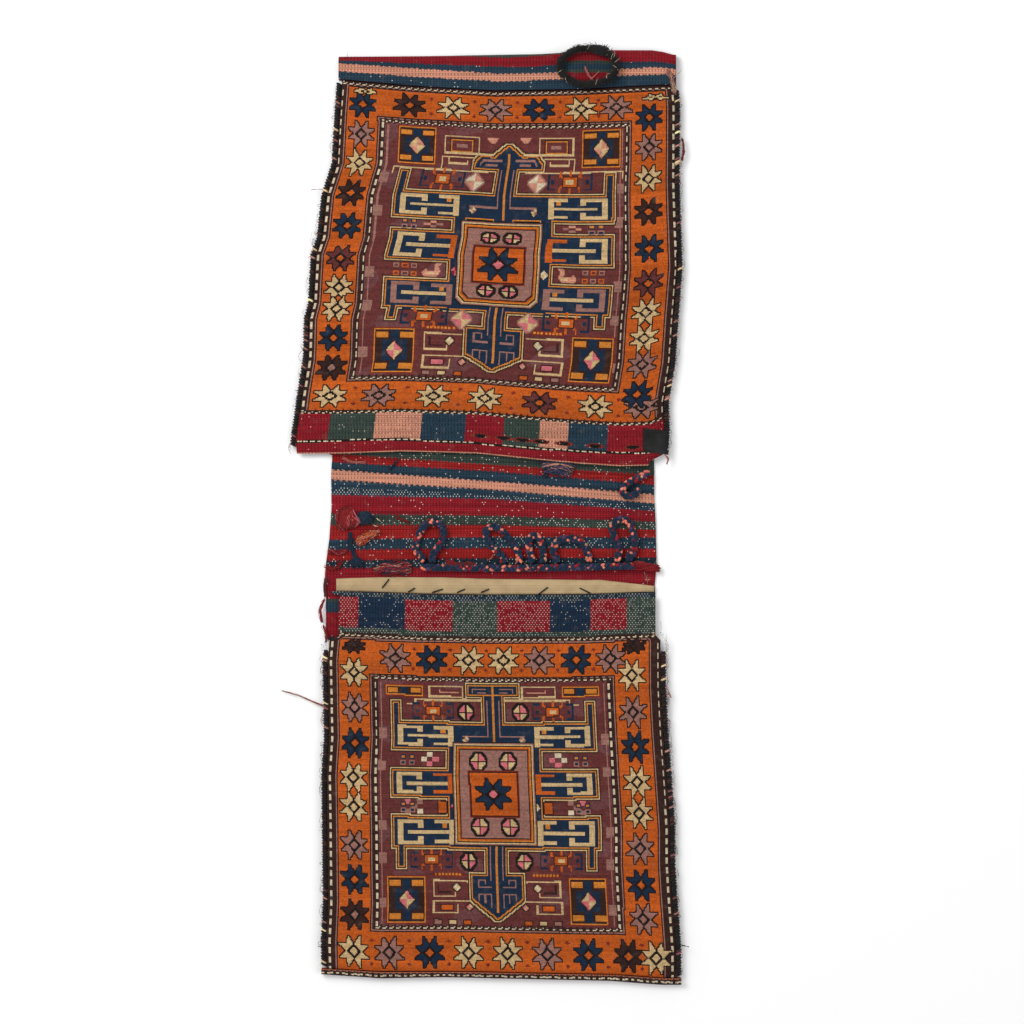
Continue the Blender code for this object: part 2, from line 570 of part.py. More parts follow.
def striped_back():
    """The kilim that backs both pockets and makes the bridge; its top has a low crown on each stripe."""
    top, bottom = TOP_END - TOP_FOLD - SPLIT_GAP, -TOP_END + BOTTOM_FOLD + SPLIT_GAP
    stripes = back_stripes(top, bottom)
    rows, previous = [(stripes[0][0], (top, top, top), 0)], np.array((top, top, top))
    for colour, ends in stripes:
        rows.append((colour, tuple((previous + np.array(ends)) / 2), STRIPE_CROWN))
        rows.append((colour, ends, 0))
        previous = np.array(ends)
    points, faces, slots = [], [], []
    names = list(dict.fromkeys(r[0] for r in rows))
    for level in (1, 0):
        for colour, ys, crown in rows:
            for i in range(SPANS + 1):
                y = float(np.interp(i / SPANS, (0, 0.5, 1), ys))
                left, right = back_edges(y)
                x = left + (right - left) * i / SPANS
                lift = bow(TOP_SPLIT, x) * max(0, 1 - (top - y) / BOW_REACH)
                lift += bow(BOTTOM_SPLIT, x) * max(0, 1 - (y - bottom) / BOW_REACH)
                points.append((x, y + lift, KILIM_THICK + crown if level else 0))
    count, half = SPANS + 1, len(rows) * (SPANS + 1)
    for r in range(len(rows) - 1):
        slot = names.index(rows[r + 1][0])
        for c in range(SPANS):
            a = r * count + c
            quad = [a, a + 1, a + count + 1, a + count]
            faces += [quad[::-1], [half + i for i in quad]]
            slots += [slot, slot]
        for c in (0, SPANS):
            a = r * count + c
            faces.append([a, a + count, half + a + count, half + a])
            slots.append(slot)
    for r in (0, len(rows) - 1):
        for c in range(SPANS):
            a = r * count + c
            faces.append([a, a + 1, half + a + 1, half + a])
            slots.append(names.index(rows[r][0]))
    return add_mesh("striped_back_and_bridge", points, faces, names, slots)


def back_edges(y):
    """The back's own side edges: inside the seams along the pockets, at the selvedge on the bridge."""
    left, right = side_edges(y)
    inset = SEAM_WIDTH + CLEARANCE
    if y > UPPER_MOUTH + MOUTH_STEP or y < LOWER_MOUTH - LOWER_BAND:
        return left + inset, right - inset
    if y > UPPER_MOUTH:
        share = (y - UPPER_MOUTH) / MOUTH_STEP
        bridge_left, bridge_right = side_edges(UPPER_MOUTH - 1e-6)
        return (bridge_left + (left + inset - bridge_left) * share, bridge_right +
                (right - inset - bridge_right) * share)
    if y < LOWER_MOUTH:
        bridge_left, bridge_right = side_edges(LOWER_MOUTH + 1e-6)
        return bridge_left, min(bridge_right, right - inset)
    return left, right


def end_fold(name, upper):
    """The cloth's turn at a pocket's closed end, from the back round to the front."""
    way = 1 if upper else -1
    fold = TOP_FOLD if upper else BOTTOM_FOLD
    edge, edge_bow = TOP_END * way, TOP_EDGE if upper else BOTTOM_EDGE
    split, split_bow = edge - way * fold, TOP_SPLIT if upper else BOTTOM_SPLIT
    stripes = FOLD_STRIPES if upper else (("brown", 1.0),)
    outer = FACE_TOP / 2
    nose = [math.pi / 2 * (1 - i / 3) for i in range(7)]
    ring_at = ring_place()
    sections, slots_of = [], []
    names = list(dict.fromkeys(s[0] for s in stripes))
    for i in range(SPANS + 1):
        left, right = side_edges(edge - way * outer)
        x = left + (right - left) * i / SPANS
        low_y = edge + bow(edge_bow, x)
        high_y = split + bow(split_bow, x)
        flat = abs(high_y - low_y) - outer
        fronts = [s[1] for s in reversed(stripes)]
        outside, inside = [], []
        for f in fronts:
            outside.append((high_y + way * flat * (1 - f), FACE_TOP))
        for a in nose[1:-1]:
            outside.append((low_y - way * outer + way * outer * math.cos(a), outer + outer * math.sin(a)))
        outside += [(low_y - way * outer, 0.0), (high_y, 0.0)]
        inner = (FACE_LOW - KILIM_THICK) / 2
        middle = KILIM_THICK + inner
        inside += [(high_y, KILIM_THICK), (low_y - way * outer, KILIM_THICK)]
        for a in reversed(nose[2:-2]):
            inside.append((low_y - way * outer + way * inner * math.cos(a), middle + inner * math.sin(a)))
        inside += [(low_y - way * outer, FACE_LOW), (high_y, FACE_LOW)]
        ring = []
        for y, z in outside + inside:
            if z > FACE_TOP - 1e-6:
                near = math.hypot((x - ring_at[0]) / (RING_LONG / 2 - RING_HAIR),
                                  (y - ring_at[1]) / (RING_WIDE / 2 - RING_HAIR))
                z += RING_BUMP * max(0.0, 1 - near) if upper else 0.0
            ring.append((x, y, z))
        sections.append(ring)
    size = len(sections[0])
    points = [p for ring in sections for p in ring]
    faces, slots = [], []
    order = [s[0] for s in reversed(stripes)]
    for i in range(len(sections) - 1):
        for j in range(size):
            a, b = i * size + j, i * size + (j + 1) % size
            faces.append([a, b, b + size, a + size])
            slots.append(names.index(order[min(j, len(order) - 1)]))
    for ring in (0, len(sections) - 1):
        base = ring * size
        count = len(order) + len(nose)
        outside = list(range(base, base + count))
        inside = list(range(base + count, base + size))
        faces += cap_strip(outside, inside)
        slots += [0] * (len(faces) - len(slots))
    return add_mesh(name, points, faces, names, slots)


def cap_strip(outside, inside):
    """Triangles that close the end of a U-shaped section between its outer and inner lines."""
    outer, inner = outside, inside[::-1]
    faces, i, j = [], 0, 0
    while i < len(outer) - 1 or j < len(inner) - 1:
        ahead_i = (i + 1) / (len(outer) - 1) if i < len(outer) - 1 else 9
        ahead_j = (j + 1) / (len(inner) - 1) if j < len(inner) - 1 else 9
        if ahead_i <= ahead_j:
            faces.append([outer[i], outer[i + 1], inner[j]])
            i += 1
        else:
            faces.append([outer[i], inner[j + 1], inner[j]])
            j += 1
    return faces


def loft(name, path, wide, tall, colour, sides=8, closed=False):
    """A tube of elliptical section along a path; wide and tall are half sizes at each point."""
    path = [Vector(p) for p in path]
    points, count = [], len(path)
    for i, p in enumerate(path):
        before = path[i - 1] if closed or i else p
        after = path[(i + 1) % count] if closed or i < count - 1 else p
        run = (after - before).normalized()
        side = Vector((run.y, -run.x, 0)).normalized()
        up = side.cross(run)
        for k in range(sides):
            a = 2 * math.pi * (k + 0.5) / sides
            points.append(p + side * wide[i] * math.cos(a) + up * tall[i] * math.sin(a))
    faces = []
    for i in range(count if closed else count - 1):
        for k in range(sides):
            a, b = i * sides + k, i * sides + (k + 1) % sides
            c = ((i + 1) % count) * sides
            faces.append([a, b, c + (k + 1) % sides, c + k])
    if not closed:
        faces += [list(range(sides)), list(range((count - 1) * sides, count * sides))]
    item = add_mesh(name, points, faces, [colour])
    item.data.shade_smooth()
    return item


def side_seam(name, upper, right):
    """Goat hair oversewn round the edges of face and back, ridged by its stitches."""
    if upper:
        low, high = UPPER_MOUTH + SEAM_START, TOP_END - TOP_FOLD
        high += along(TOP_SPLIT, 1 if right else 0) - 2 * SPLIT_GAP
    else:
        low, high = -TOP_END + BOTTOM_FOLD, LOWER_MOUTH - LOWER_BAND - SEAM_START
        low += along(BOTTOM_SPLIT, 1 if right else 0) + 2 * SPLIT_GAP
    steps = 2 * math.ceil((high - low) / SEAM_PITCH)
    path, wide, tall = [], [], []
    for i in range(steps + 1):
        y = low + (high - low) * i / steps
        left_x, right_x = side_edges(y)
        ridge = SEAM_RIDGE if i % 2 else 0
        half = SEAM_WIDTH / 2 - ridge
        x = right_x - SEAM_WIDTH / 2 if right else left_x + SEAM_WIDTH / 2
        path.append((x, y, FACE_TOP / 2))
        wide.append(half)
        tall.append((FACE_TOP / 2 - ridge) / math.sin(math.pi * 3 / 8))
    return loft(name, path, wide, tall, "hair")


def mouth_tape():
    """A cotton tape sewn across the bridge along the lower pocket's mouth."""
    points, faces = [], []
    left, right = side_edges(LOWER_MOUTH + TAPE_WIDTH / 2)
    for i in range(SPANS + 1):
        share = i / SPANS
        x = left + (right - left) * (TAPE_ENDS[0] + (TAPE_ENDS[1] - TAPE_ENDS[0]) * share)
        low = LOWER_MOUTH + bow(LOWER_LIP, x) + CLEARANCE
        for y in (low, low + TAPE_WIDTH * along(TAPE_SHAPE, share)):
            for z in (BRIDGE_TOP + CLEARANCE, BRIDGE_TOP + CLEARANCE + TAPE_THICK):
                points.append((x, y, z))
    for i in range(SPANS):
        a = 4 * i
        faces += [[a, a + 1, a + 5, a + 4], [a + 1, a + 3, a + 7, a + 5],
                  [a + 3, a + 2, a + 6, a + 7], [a + 2, a, a + 4, a + 6]]
    last = 4 * SPANS
    faces += [[0, 1, 3, 2], [last, last + 1, last + 3, last + 2]]
    return add_mesh("mouth_tape", points, faces, ["tape"])


def corner_patch():
    """A black cloth patch over the worn last square of the upper closing band."""
    _, right = side_edges(UPPER_MOUTH + 0.03)
    x1 = right - 0.002
    y0 = UPPER_MOUTH + bow(UPPER_LIP, x1) + CLOSING_BAND * 0.11
    low = FACE_TOP + MOTIF_CROWN + CLEARANCE
    outline = [(x1 - PATCH_WIDTH, y0 + 0.004), (x1, y0), (x1 - 0.001, y0 + PATCH_LENGTH),
               (x1 - PATCH_WIDTH * 0.72, y0 + PATCH_LENGTH + 0.001),
               (x1 - PATCH_WIDTH * 0.95, y0 + PATCH_LENGTH * 0.6)]
    points = [(x, y, z) for z in (low, low + PATCH_THICK) for x, y in outline]
    n = len(outline)
    faces = [list(range(n)), list(range(n, 2 * n))]
    faces += [[i, (i + 1) % n, n + (i + 1) % n, n + i] for i in range(n)]
    return add_mesh("corner_patch", points, faces, ["patch"])


def ring_place():
    """The middle of the goat hair ring on the folded end."""
    _, right = side_edges(TOP_END)
    return right - 0.118, TOP_END - 0.016


def hair_ring():
    """A ring of wrapped goat hair with a knot, lying on the folded end of the upper pocket."""
    x, y = ring_place()
    r = RING_HAIR / 2
    z = FACE_TOP + RING_BUMP + CLEARANCE + r
    path, wide, tall = [], [], []
    steps = 36
    for i in range(steps):
        a = 2 * math.pi * i / steps
        path.append((x + (RING_LONG / 2 - r) * math.cos(a), y + (RING_WIDE / 2 - r) * math.sin(a), z))
        knot = max(0.0, 1 - abs(a - math.radians(62)) / math.radians(20))
        swell = 1 + (KNOT / RING_HAIR - 1) * knot
        ridge = 0.0006 * (i % 2)
        wide.append(r * swell - ridge)
        tall.append(r - ridge)
    return loft("goat_hair_ring", path, wide, tall, "hair", closed=True)


def smooth_line(points, step):
    """Evenly spaced points on a smooth curve through the given ones."""
    given = [Vector(p) for p in points]
    given = [2 * given[0] - given[1]] + given + [2 * given[-1] - given[-2]]
    fine = []
    for a, b, c, d in zip(given, given[1:], given[2:], given[3:]):
        for i in range(16):
            t = i / 16
            fine.append(0.5 * (2 * b + (c - a) * t + (2 * a - 5 * b + 4 * c - d) * t * t +
                               (3 * b - a - 3 * c + d) * t ** 3))
    fine.append(given[-2])
    far = np.concatenate([[0], np.cumsum([(b - a).length for a, b in zip(fine, fine[1:])])])
    count = max(2, round(far[-1] / step))
    wanted = np.linspace(0, far[-1], count + 1)
    spread = [np.interp(wanted, far, [p[k] for p in fine]) for k in range(3)]
    return [tuple(float(v) for v in p) for p in zip(*spread)]


def braid(name, points):
    """A braided wool cord along a route given in millimetres from the upper lip's middle."""
    z = BRIDGE_TOP + CLEARANCE + BRAID / 2
    route = [(x / 1000, UPPER_MOUTH + y / 1000, z + lift / 1000) for x, y, lift in points]
    line = smooth_line(route, BRAID_STEP)
    data = bpy.data.curves.new(name, "CURVE")
    data.dimensions = "3D"
    data.bevel_depth = BRAID / 2
    data.bevel_resolution = 2
    data.use_fill_caps = True
    spline = data.splines.new("POLY")
    spline.points.add(len(line) - 1)
    for point, place in zip(spline.points, line):
        point.co = (*place, 1)
    return add_object(name, data, ["navy"])


FOOT = 7
END_ROUTE = ((1, -23), (-10.5, -29), (-21, -34), (-31, -41), (-35, -49), (-29, -55.5), (-19, -54),
             (-13, -46))
BASE_ROUTE = ((-88, -152.0, 0), (-43, -152.6, 0), (18, -153.0, 0), (79, -152.6, 0), (140, -151.4, 0),
              (199, -150, 0))
LOOPS = {
    "braid_loop_1": ((-88, 0), (-96, 16), (-94, 31), (-86, 46), (-74, 55.5), (-62, 50), (-58, 38), (-63, 24),
                     (-71, 13), (-73.5, 0)),
    "braid_loop_2": ((22.5, 0), (14, 15), (3, 27), (-1, 41), (8, 48.5), (20, 43), (30, 32), (38, 23),
                     (43, 12), (44, 0)),
    "braid_loop_3": ((60.5, 0), (58, 16), (57, 30), (64, 36.5), (72, 31), (76, 16), (76.5, 0)),
    "braid_loop_4": ((94, 0), (90, 14), (94, 26), (105, 31.5), (119, 30.5), (130, 24), (136, 12), (138, 0)),
    "braid_loop_5": ((177.5, 0), (179, 16), (173, 32), (169.5, 46), (177.5, 55), (190, 53.5), (197.5, 40),
                     (200, 22), (197.5, 10), (193.5, 0)),
}


def braids():
    """The base braid along the bridge and the loops that stand on it."""
    braid("braid_along_bridge", BASE_ROUTE)
    reach = 1000 * (BRAID / 2 + 5 * CLEARANCE)
    at, height, _ = zip(*BASE_ROUTE)
    for name, points in LOOPS.items():
        feet = ((points[0][0], FOOT), (points[-1][0], FOOT))
        route = []
        for x, up in points[:1] + feet[:1] + points[1:-1] + feet[1:] + points[-1:]:
            base = float(np.interp(x, at, height)) + reach
            route.append((x, base + up, 0))
        braid(name, route)
    edge = 500 * BRIDGE_WIDTH
    braid("braid_end_at_lip", [(edge + x, y, 0) for x, y in END_ROUTE])


def tuft(name, points, width, colour, height=0.006):
    """A lock of loose wool lying on the bridge, thin at both ends."""
    low = BRIDGE_TOP + CLEARANCE
    line = smooth_line([(x / 1000, UPPER_MOUTH + y / 1000, low + height / 2) for x, y in points], 0.006)
    n = len(line) - 1
    wide = [width / 2 * (0.35 + 0.65 * math.sin(math.pi * (0.08 + 0.84 * i / n))) for i in range(n + 1)]
    tall = [height / 2 * (0.5 + 0.5 * math.sin(math.pi * (0.08 + 0.84 * i / n))) for i in range(n + 1)]
    return loft(name, line, wide, tall, colour)


TUFTS = (
    ("wool_tuft_red", ((-181, -70), (-188, -84), (-184, -102)), 0.026, "red"),
    ("wool_tuft_navy", ((-167, -74), (-165, -86), (-163, -96)), 0.019, "navy"),
    ("wool_tuft_salmon", ((-142, -102), (-155, -107), (-168, -114), (-176, -124)), 0.009, "salmon"),
    ("wool_tuft_blue_end", ((-178, -136), (-176, -145), (-172, -152)), 0.012, "navy"),
    ("wool_tuft_knotted", ((-155, -157), (-135, -154), (-110, -153.5), (-98.5, -153.5)), 0.014, "salmon"),
    ("wool_tuft_at_lip", ((72, -17), (84, -16), (96, -17), (108, -19), (119, -24)), 0.017, "purple"),
)


def main():
    clear_scene()
    striped_back()
    end_fold("top_end_fold", True)
    end_fold("bottom_end_fold", False)
    pocket_face("upper_pocket_face", True)
    pocket_face("lower_pocket_face", False)
    for upper in (True, False):
        for right in (False, True):
            name = f"{'upper' if upper else 'lower'}_seam_{'right' if right else 'left'}"
            side_seam(name, upper, right)
    mouth_tape()
    corner_patch()
    hair_ring()
    braids()
    for name, points, width, colour in TUFTS:
        tuft(name, points, width, colour)


main()
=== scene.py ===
"""Dresses the woven double saddle bag: worked faces, striped kilim, braids, tufts and hair.

The bag lies flat and is seen from straight above. The faces are drawn stitch by stitch in code by
Cartoon, on the same bowed panels that the frame has, and every other piece is built where its node is.
"""

import logging
import math
from dataclasses import dataclass, field
from enum import Enum
from typing import Iterable, Sequence

import bpy
import numpy as np
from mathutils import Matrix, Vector


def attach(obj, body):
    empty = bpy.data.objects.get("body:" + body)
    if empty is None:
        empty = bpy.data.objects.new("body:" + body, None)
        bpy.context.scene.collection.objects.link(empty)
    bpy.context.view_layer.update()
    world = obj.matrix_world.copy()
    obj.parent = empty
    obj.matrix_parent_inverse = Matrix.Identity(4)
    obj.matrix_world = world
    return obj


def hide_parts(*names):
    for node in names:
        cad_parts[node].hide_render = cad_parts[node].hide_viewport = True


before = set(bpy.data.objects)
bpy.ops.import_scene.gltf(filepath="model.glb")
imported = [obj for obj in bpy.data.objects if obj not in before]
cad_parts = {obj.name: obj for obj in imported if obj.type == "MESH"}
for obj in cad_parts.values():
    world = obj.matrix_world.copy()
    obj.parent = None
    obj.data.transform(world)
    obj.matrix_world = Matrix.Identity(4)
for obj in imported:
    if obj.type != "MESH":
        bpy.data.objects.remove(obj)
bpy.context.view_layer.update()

log = logging.getLogger("saddle_bag")

Point = tuple[float, ...]
Profile = tuple[tuple[float, float], ...]

# Middle of the bag's box on the page, which the frame has moved to the origin
MIDDLE = (-0.0002, 0.0030)


class Dye(Enum):
    """The dyed yarns, as linear colours."""

    ORANGE = (0.51, 0.095, 0.011)
    NAVY = (0.009, 0.023, 0.050)
    CREAM = (0.60, 0.41, 0.20)
    MAUVE = (0.31, 0.145, 0.115)
    AUBERGINE = (0.128, 0.030, 0.028)
    BROWN = (0.036, 0.014, 0.011)
    DARK = (0.011, 0.007, 0.007)
    PINK = (0.62, 0.15, 0.17)
    BRASS = (0.60, 0.20, 0.028)
    RUST = (0.19, 0.024, 0.014)
    RED = (0.235, 0.009, 0.016)
    SCARLET = (0.285, 0.012, 0.012)
    MOSS = (0.038, 0.056, 0.047)
    BLUE = (0.018, 0.042, 0.066)
    SALMON = (0.58, 0.25, 0.165)
    CORAL = (0.66, 0.175, 0.115)
    INK = (0.014, 0.030, 0.046)
    COTTON = (0.62, 0.45, 0.25)
    WHITE = (0.66, 0.55, 0.38)
    HAIR = (0.008, 0.007, 0.007)
    PURPLE = (0.075, 0.050, 0.115)
    PLUM = (0.150, 0.050, 0.052)


DYES = list(Dye)
DYE_TABLE = np.array([d.value for d in DYES])


@dataclass(frozen=True)
class Plan:
    """The bag's own sizes and edge lines, in metres and as the frame has them."""

    upper_pocket: float = 0.539
    bridge: float = 0.189
    lower_pocket: float = 0.520
    top_fold: float = 0.040
    bottom_fold: float = 0.008
    closing_band: float = 0.054
    lower_band: float = 0.061
    pocket_width: float = 0.475
    bridge_width: float = 0.437
    kilim: float = 0.0026
    face_low: float = 0.0086
    face_top: float = 0.0118
    seam: float = 0.007
    clearance: float = 0.0004
    split_gap: float = 0.0012
    upper_left: Profile = ((0, 26), (0.03, 28), (0.12, 21), (0.15, 19), (0.24, 11), (0.34, 9.5), (0.38, 4),
                           (0.5, 0.4), (0.545, -8), (0.65, -14), (0.73, -28), (0.86, -32), (1, -38))
    upper_right: Profile = ((0, 8), (0.06, 10), (0.13, 9), (0.23, 18), (0.34, 22), (0.47, 27.5), (0.59, 25),
                            (0.69, 23.5), (0.87, 24), (0.975, 20), (1, 17))
    lower_left: Profile = ((0, -31), (0.105, -30), (0.118, -18), (0.17, -15.5), (0.37, -17.5), (0.47, -14),
                           (0.6, -15), (0.8, -16), (0.9, -13.5), (1, -14.5))
    lower_right: Profile = ((0, -2), (0.105, -2), (0.118, 4.7), (0.24, 5), (0.36, 8.2), (0.49, 13.3),
                            (0.61, 17.5), (0.7, 17.5), (0.78, 20), (0.92, 25.5), (1, 25.5))
    bridge_left: Profile = ((0, -9.8), (0.13, -8), (0.38, -8.5), (0.6, -5.7), (0.75, -1.7), (0.85, 0.4),
                            (1, -1))
    bridge_right: Profile = ((0, 8.2), (0.3, 8.2), (0.5, 10.2), (0.8, 11.5), (0.93, 8.8), (1, 10))
    top_split: Profile = ((0, 9), (0.1, 7.5), (0.2, 3.5), (0.29, -0.6), (0.525, -7), (0.75, -5), (1, 1))
    upper_lip: Profile = ((0, 1.4), (0.1, 2), (0.26, 4.7), (0.47, 2), (0.65, -6.8), (0.77, -12),
                          (0.88, -15.5), (0.96, -14.5), (1, -6))
    lower_lip: Profile = ((0, 5.4), (0.12, 4), (0.32, 0.7), (0.5, -0.7), (0.78, 0), (1, 4))
    bottom_split: Profile = ((0, 8), (0.2, 2.5), (0.4, 3), (0.7, 0), (0.87, -1.4), (1, -6))
    bottom_edge: Profile = ((0, 8), (0.2, 1.4), (0.38, 3), (0.66, 0), (0.85, -2), (1, -7.4))

    @property
    def top_end(self) -> float:
        """Half the bag's whole length."""
        return (self.upper_pocket + self.bridge + self.lower_pocket) / 2

    @property
    def upper_mouth(self) -> float:
        """Where the upper pocket's lip lies."""
        return self.top_end - self.upper_pocket

    @property
    def lower_mouth(self) -> float:
        """Where the lower pocket's lip lies."""
        return self.upper_mouth - self.bridge

    def side_edges(self, y: np.ndarray) -> tuple[np.ndarray, np.ndarray]:
        """The x of both outer edges.

        Args:
            y: places along the bag, before it is centred.

        Returns:
            The left and the right edge at each place.
        """
        half, narrow = self.pocket_width / 2, self.bridge_width / 2
        up = (y - self.upper_mouth) / self.upper_pocket
        down = (self.lower_mouth - y) / self.lower_pocket
        mid = (self.upper_mouth - y) / self.bridge
        left = np.where(up >= 0, -half - along(self.upper_left, up),
                        np.where(down >= 0, -half - along(self.lower_left, down),
                                 -narrow - along(self.bridge_left, mid)))
        right = np.where(up >= 0, half + along(self.upper_right, up),
                         np.where(down >= 0, half + along(self.lower_right, down),
                                  narrow + along(self.bridge_right, mid)))
        return left, right

    def bow(self, profile: Profile, x: np.ndarray) -> np.ndarray:
        """A cross edge's bow towards +Y at each x."""
        return along(profile, x / self.pocket_width + 0.5)


def along(profile: Profile, share: np.ndarray) -> np.ndarray:
    """A profile's height in metres at these shares of its length."""
    at, height = zip(*profile)
    return np.interp(share, at, height) / 1000


PLAN = Plan()


@dataclass(frozen=True)
class Panel:
    """A stretch of cloth between two bowed cross edges, with the bag's own side edges."""

    low: float
    low_bow: Profile
    high: float
    high_bow: Profile
    inset: float

    def place(self, across: np.ndarray, up: np.ndarray) -> tuple[np.ndarray, np.ndarray]:
        """Finds the page's x and y of points given as shares.

        Args:
            across: shares of the width, from the left.
            up: shares of the height, from the low edge.

        Returns:
            x and y in the frame, centred as the frame is.
        """
        y = self.low + (self.high - self.low) * up
        x = np.zeros_like(y)
        for _ in range(3):
            left, right = PLAN.side_edges(y)
            x = left + self.inset + (right - left - 2 * self.inset) * across
            low = self.low + PLAN.bow(self.low_bow, x)
            high = self.high + PLAN.bow(self.high_bow, x)
            y = low + (high - low) * up
        return x - MIDDLE[0], y - MIDDLE[1]


def ripple(x: np.ndarray, y: np.ndarray, seed: int, reach: float, rise: float) -> np.ndarray:
    """A soft unevenness of cloth that has been folded and used.

    Args:
        x, y: places in metres.
        seed: picks the waves.
        reach: length of the longest wave, in metres.
        rise: height of the unevenness, in metres.

    Returns:
        Heights between about -rise and +rise.
    """
    draw = np.random.default_rng(seed)
    height = np.zeros_like(x)
    for k in range(9):
        turn, phase = draw.uniform(0, math.pi), draw.uniform(0, 2 * math.pi)
        wave = 2 * math.pi / (reach * draw.uniform(0.28, 1.0))
        height += np.sin(wave * (x * math.cos(turn) + y * math.sin(turn)) + phase) / (2.5 + 0.3 * k)
    return rise * height / 1.6


@dataclass
class Cartoon:
    """The weaver's drawing of one face, painted stitch by stitch.

    Args:
        x, y: each stitch's place in the drawing, in percent of the field, y downwards.
        rows, columns: how many stitches there are.
    """

    x: np.ndarray
    y: np.ndarray
    rows: int
    columns: int
    dye: np.ndarray = field(init=False)

    def __post_init__(self) -> None:
        """Starts from plain brown ground."""
        self.dye = np.full(self.x.shape, DYES.index(Dye.BROWN), np.int16)

    def paint(self, mask: np.ndarray, dye: Dye) -> None:
        """Gives the stitches of a mask this dye."""
        self.dye[mask] = DYES.index(dye)

    def inside(self, points: Sequence[Point]) -> np.ndarray:
        """Which stitches lie in a closed outline, by the even-odd rule.

        Args:
            points: the outline's corners.

        Returns:
            A mask of the stitches.
        """
        found = np.zeros(self.x.shape, bool)
        xs, ys = [p[0] for p in points], [p[1] for p in points]
        near = np.flatnonzero((self.x > min(xs)) & (self.x < max(xs)) &
                              (self.y > min(ys)) & (self.y < max(ys)))
        px, py, hit = self.x[near], self.y[near], np.zeros(len(near), bool)
        for (ax, ay), (bx, by) in zip(points, list(points[1:]) + [points[0]]):
            if ay == by:
                continue
            crosses = (ay > py) != (by > py)
            hit ^= crosses & (px < (bx - ax) * (py - ay) / (by - ay) + ax)
        found[near] = hit
        return found

    def fill(self, points: Sequence[Point], dye: Dye) -> None:
        """Paints a closed outline."""
        self.paint(self.inside(points), dye)

    def box(self, x0: float, y0: float, x1: float, y1: float, dye: Dye) -> None:
        """Paints an upright box, with its corners in either order."""
        x0, x1, y0, y1 = min(x0, x1), max(x0, x1), min(y0, y1), max(y0, y1)
        self.paint((self.x > x0) & (self.x < x1) & (self.y > y0) & (self.y < y1), dye)

    def line(self, points: Sequence[Point], dye: Dye, wide: float = 0.62) -> None:
        """Paints a bent line, as square-ended boxes or slanted strokes.

        Args:
            points: the line's corners.
            dye: its yarn.
            wide: its width, in percent of the field.
        """
        for (ax, ay), (bx, by) in zip(points, points[1:]):
            h = wide / 2
            if abs(ax - bx) < 1e-6 or abs(ay - by) < 1e-6:
                self.box(min(ax, bx) - h, min(ay, by) - h, max(ax, bx) + h, max(ay, by) + h, dye)
                continue
            run = math.hypot(bx - ax, by - ay)
            nx, ny = -(by - ay) / run * h, (bx - ax) / run * h
            self.fill([(ax + nx, ay + ny), (bx + nx, by + ny), (bx - nx, by - ny), (ax - nx, ay - ny)], dye)

    def grown(self, mask: np.ndarray) -> np.ndarray:
        """The mask, one stitch wider on every side.

        Args:
            mask: the stitches.

        Returns:
            The wider mask.
        """
        grid = mask.reshape(self.rows, self.columns)
        wide = grid.copy()
        wide[1:] |= grid[:-1]
        wide[:-1] |= grid[1:]
        high = wide.copy()
        high[:, 1:] |= wide[:, :-1]
        high[:, :-1] |= wide[:, 1:]
        return high.ravel()

    def outline(self, mask: np.ndarray, dyes: Iterable[Dye]) -> np.ndarray:
        """Lines round a mask, one stitch each, from the inside out.

        Args:
            mask: what the lines run round.
            dyes: a yarn for each line.

        Returns:
            The mask with its lines.
        """
        for dye in dyes:
            wider = self.grown(mask)
            self.paint(wider & ~mask, dye)
            mask = wider
        return mask

    def framed(self, x0: float, y0: float, x1: float, y1: float, dyes: Sequence[Dye]) -> None:
        """A box of the first dye with lines of the others round it, from the inside out.

        Args:
            x0, y0, x1, y1: its corners; both x in either order.
            dyes: the box's yarn, then a yarn for each line.
        """
        mask = (self.x > min(x0, x1)) & (self.x < max(x0, x1)) & (self.y > y0) & (self.y < y1)
        self.paint(mask, dyes[0])
        self.outline(mask, dyes[1:])

    def diamond(self, x: float, y: float, wide: float, tall: float, dyes: Sequence[Dye]) -> None:
        """A quartered diamond of two dyes, with lines round it if more dyes are given.

        Args:
            x, y: its middle.
            wide, tall: half its size.
            dyes: the two yarns of its quarters, then a yarn for each line.
        """
        mask = self.inside([(x - wide, y), (x, y - tall), (x + wide, y), (x, y + tall)])
        quarter = (self.x > x) ^ (self.y > y)
        self.paint(mask & quarter, dyes[0])
        self.paint(mask & ~quarter, dyes[1])
        self.outline(mask, dyes[2:])

    def octagon(self, x: float, y: float, wide: float, tall: float, turned: int = 1) -> None:
        """A quartered pink and cream octagon with a dark rim and a dark cross.

        Args:
            x, y: its middle.
            wide, tall: half its size.
            turned: 1 or -1: which quarters are pink.
        """
        rim = [(x + a * wide, y + b * tall) for a, b in ((-1, -0.14), (-0.34, -1), (0.34, -1), (1, -0.14),
                                                         (1, 0.14), (0.34, 1), (-0.34, 1), (-1, 0.14))]
        mask = self.inside(rim)
        quarter = ((self.x - x) * turned > 0) ^ (self.y > y)
        self.paint(mask & quarter, Dye.PINK)
        self.paint(mask & ~quarter, Dye.CREAM)
        self.paint(mask & ((np.abs(self.x - x) < 0.3) | (np.abs(self.y - y) < 0.26)), Dye.DARK)
        self.outline(mask, (Dye.DARK, Dye.DARK))

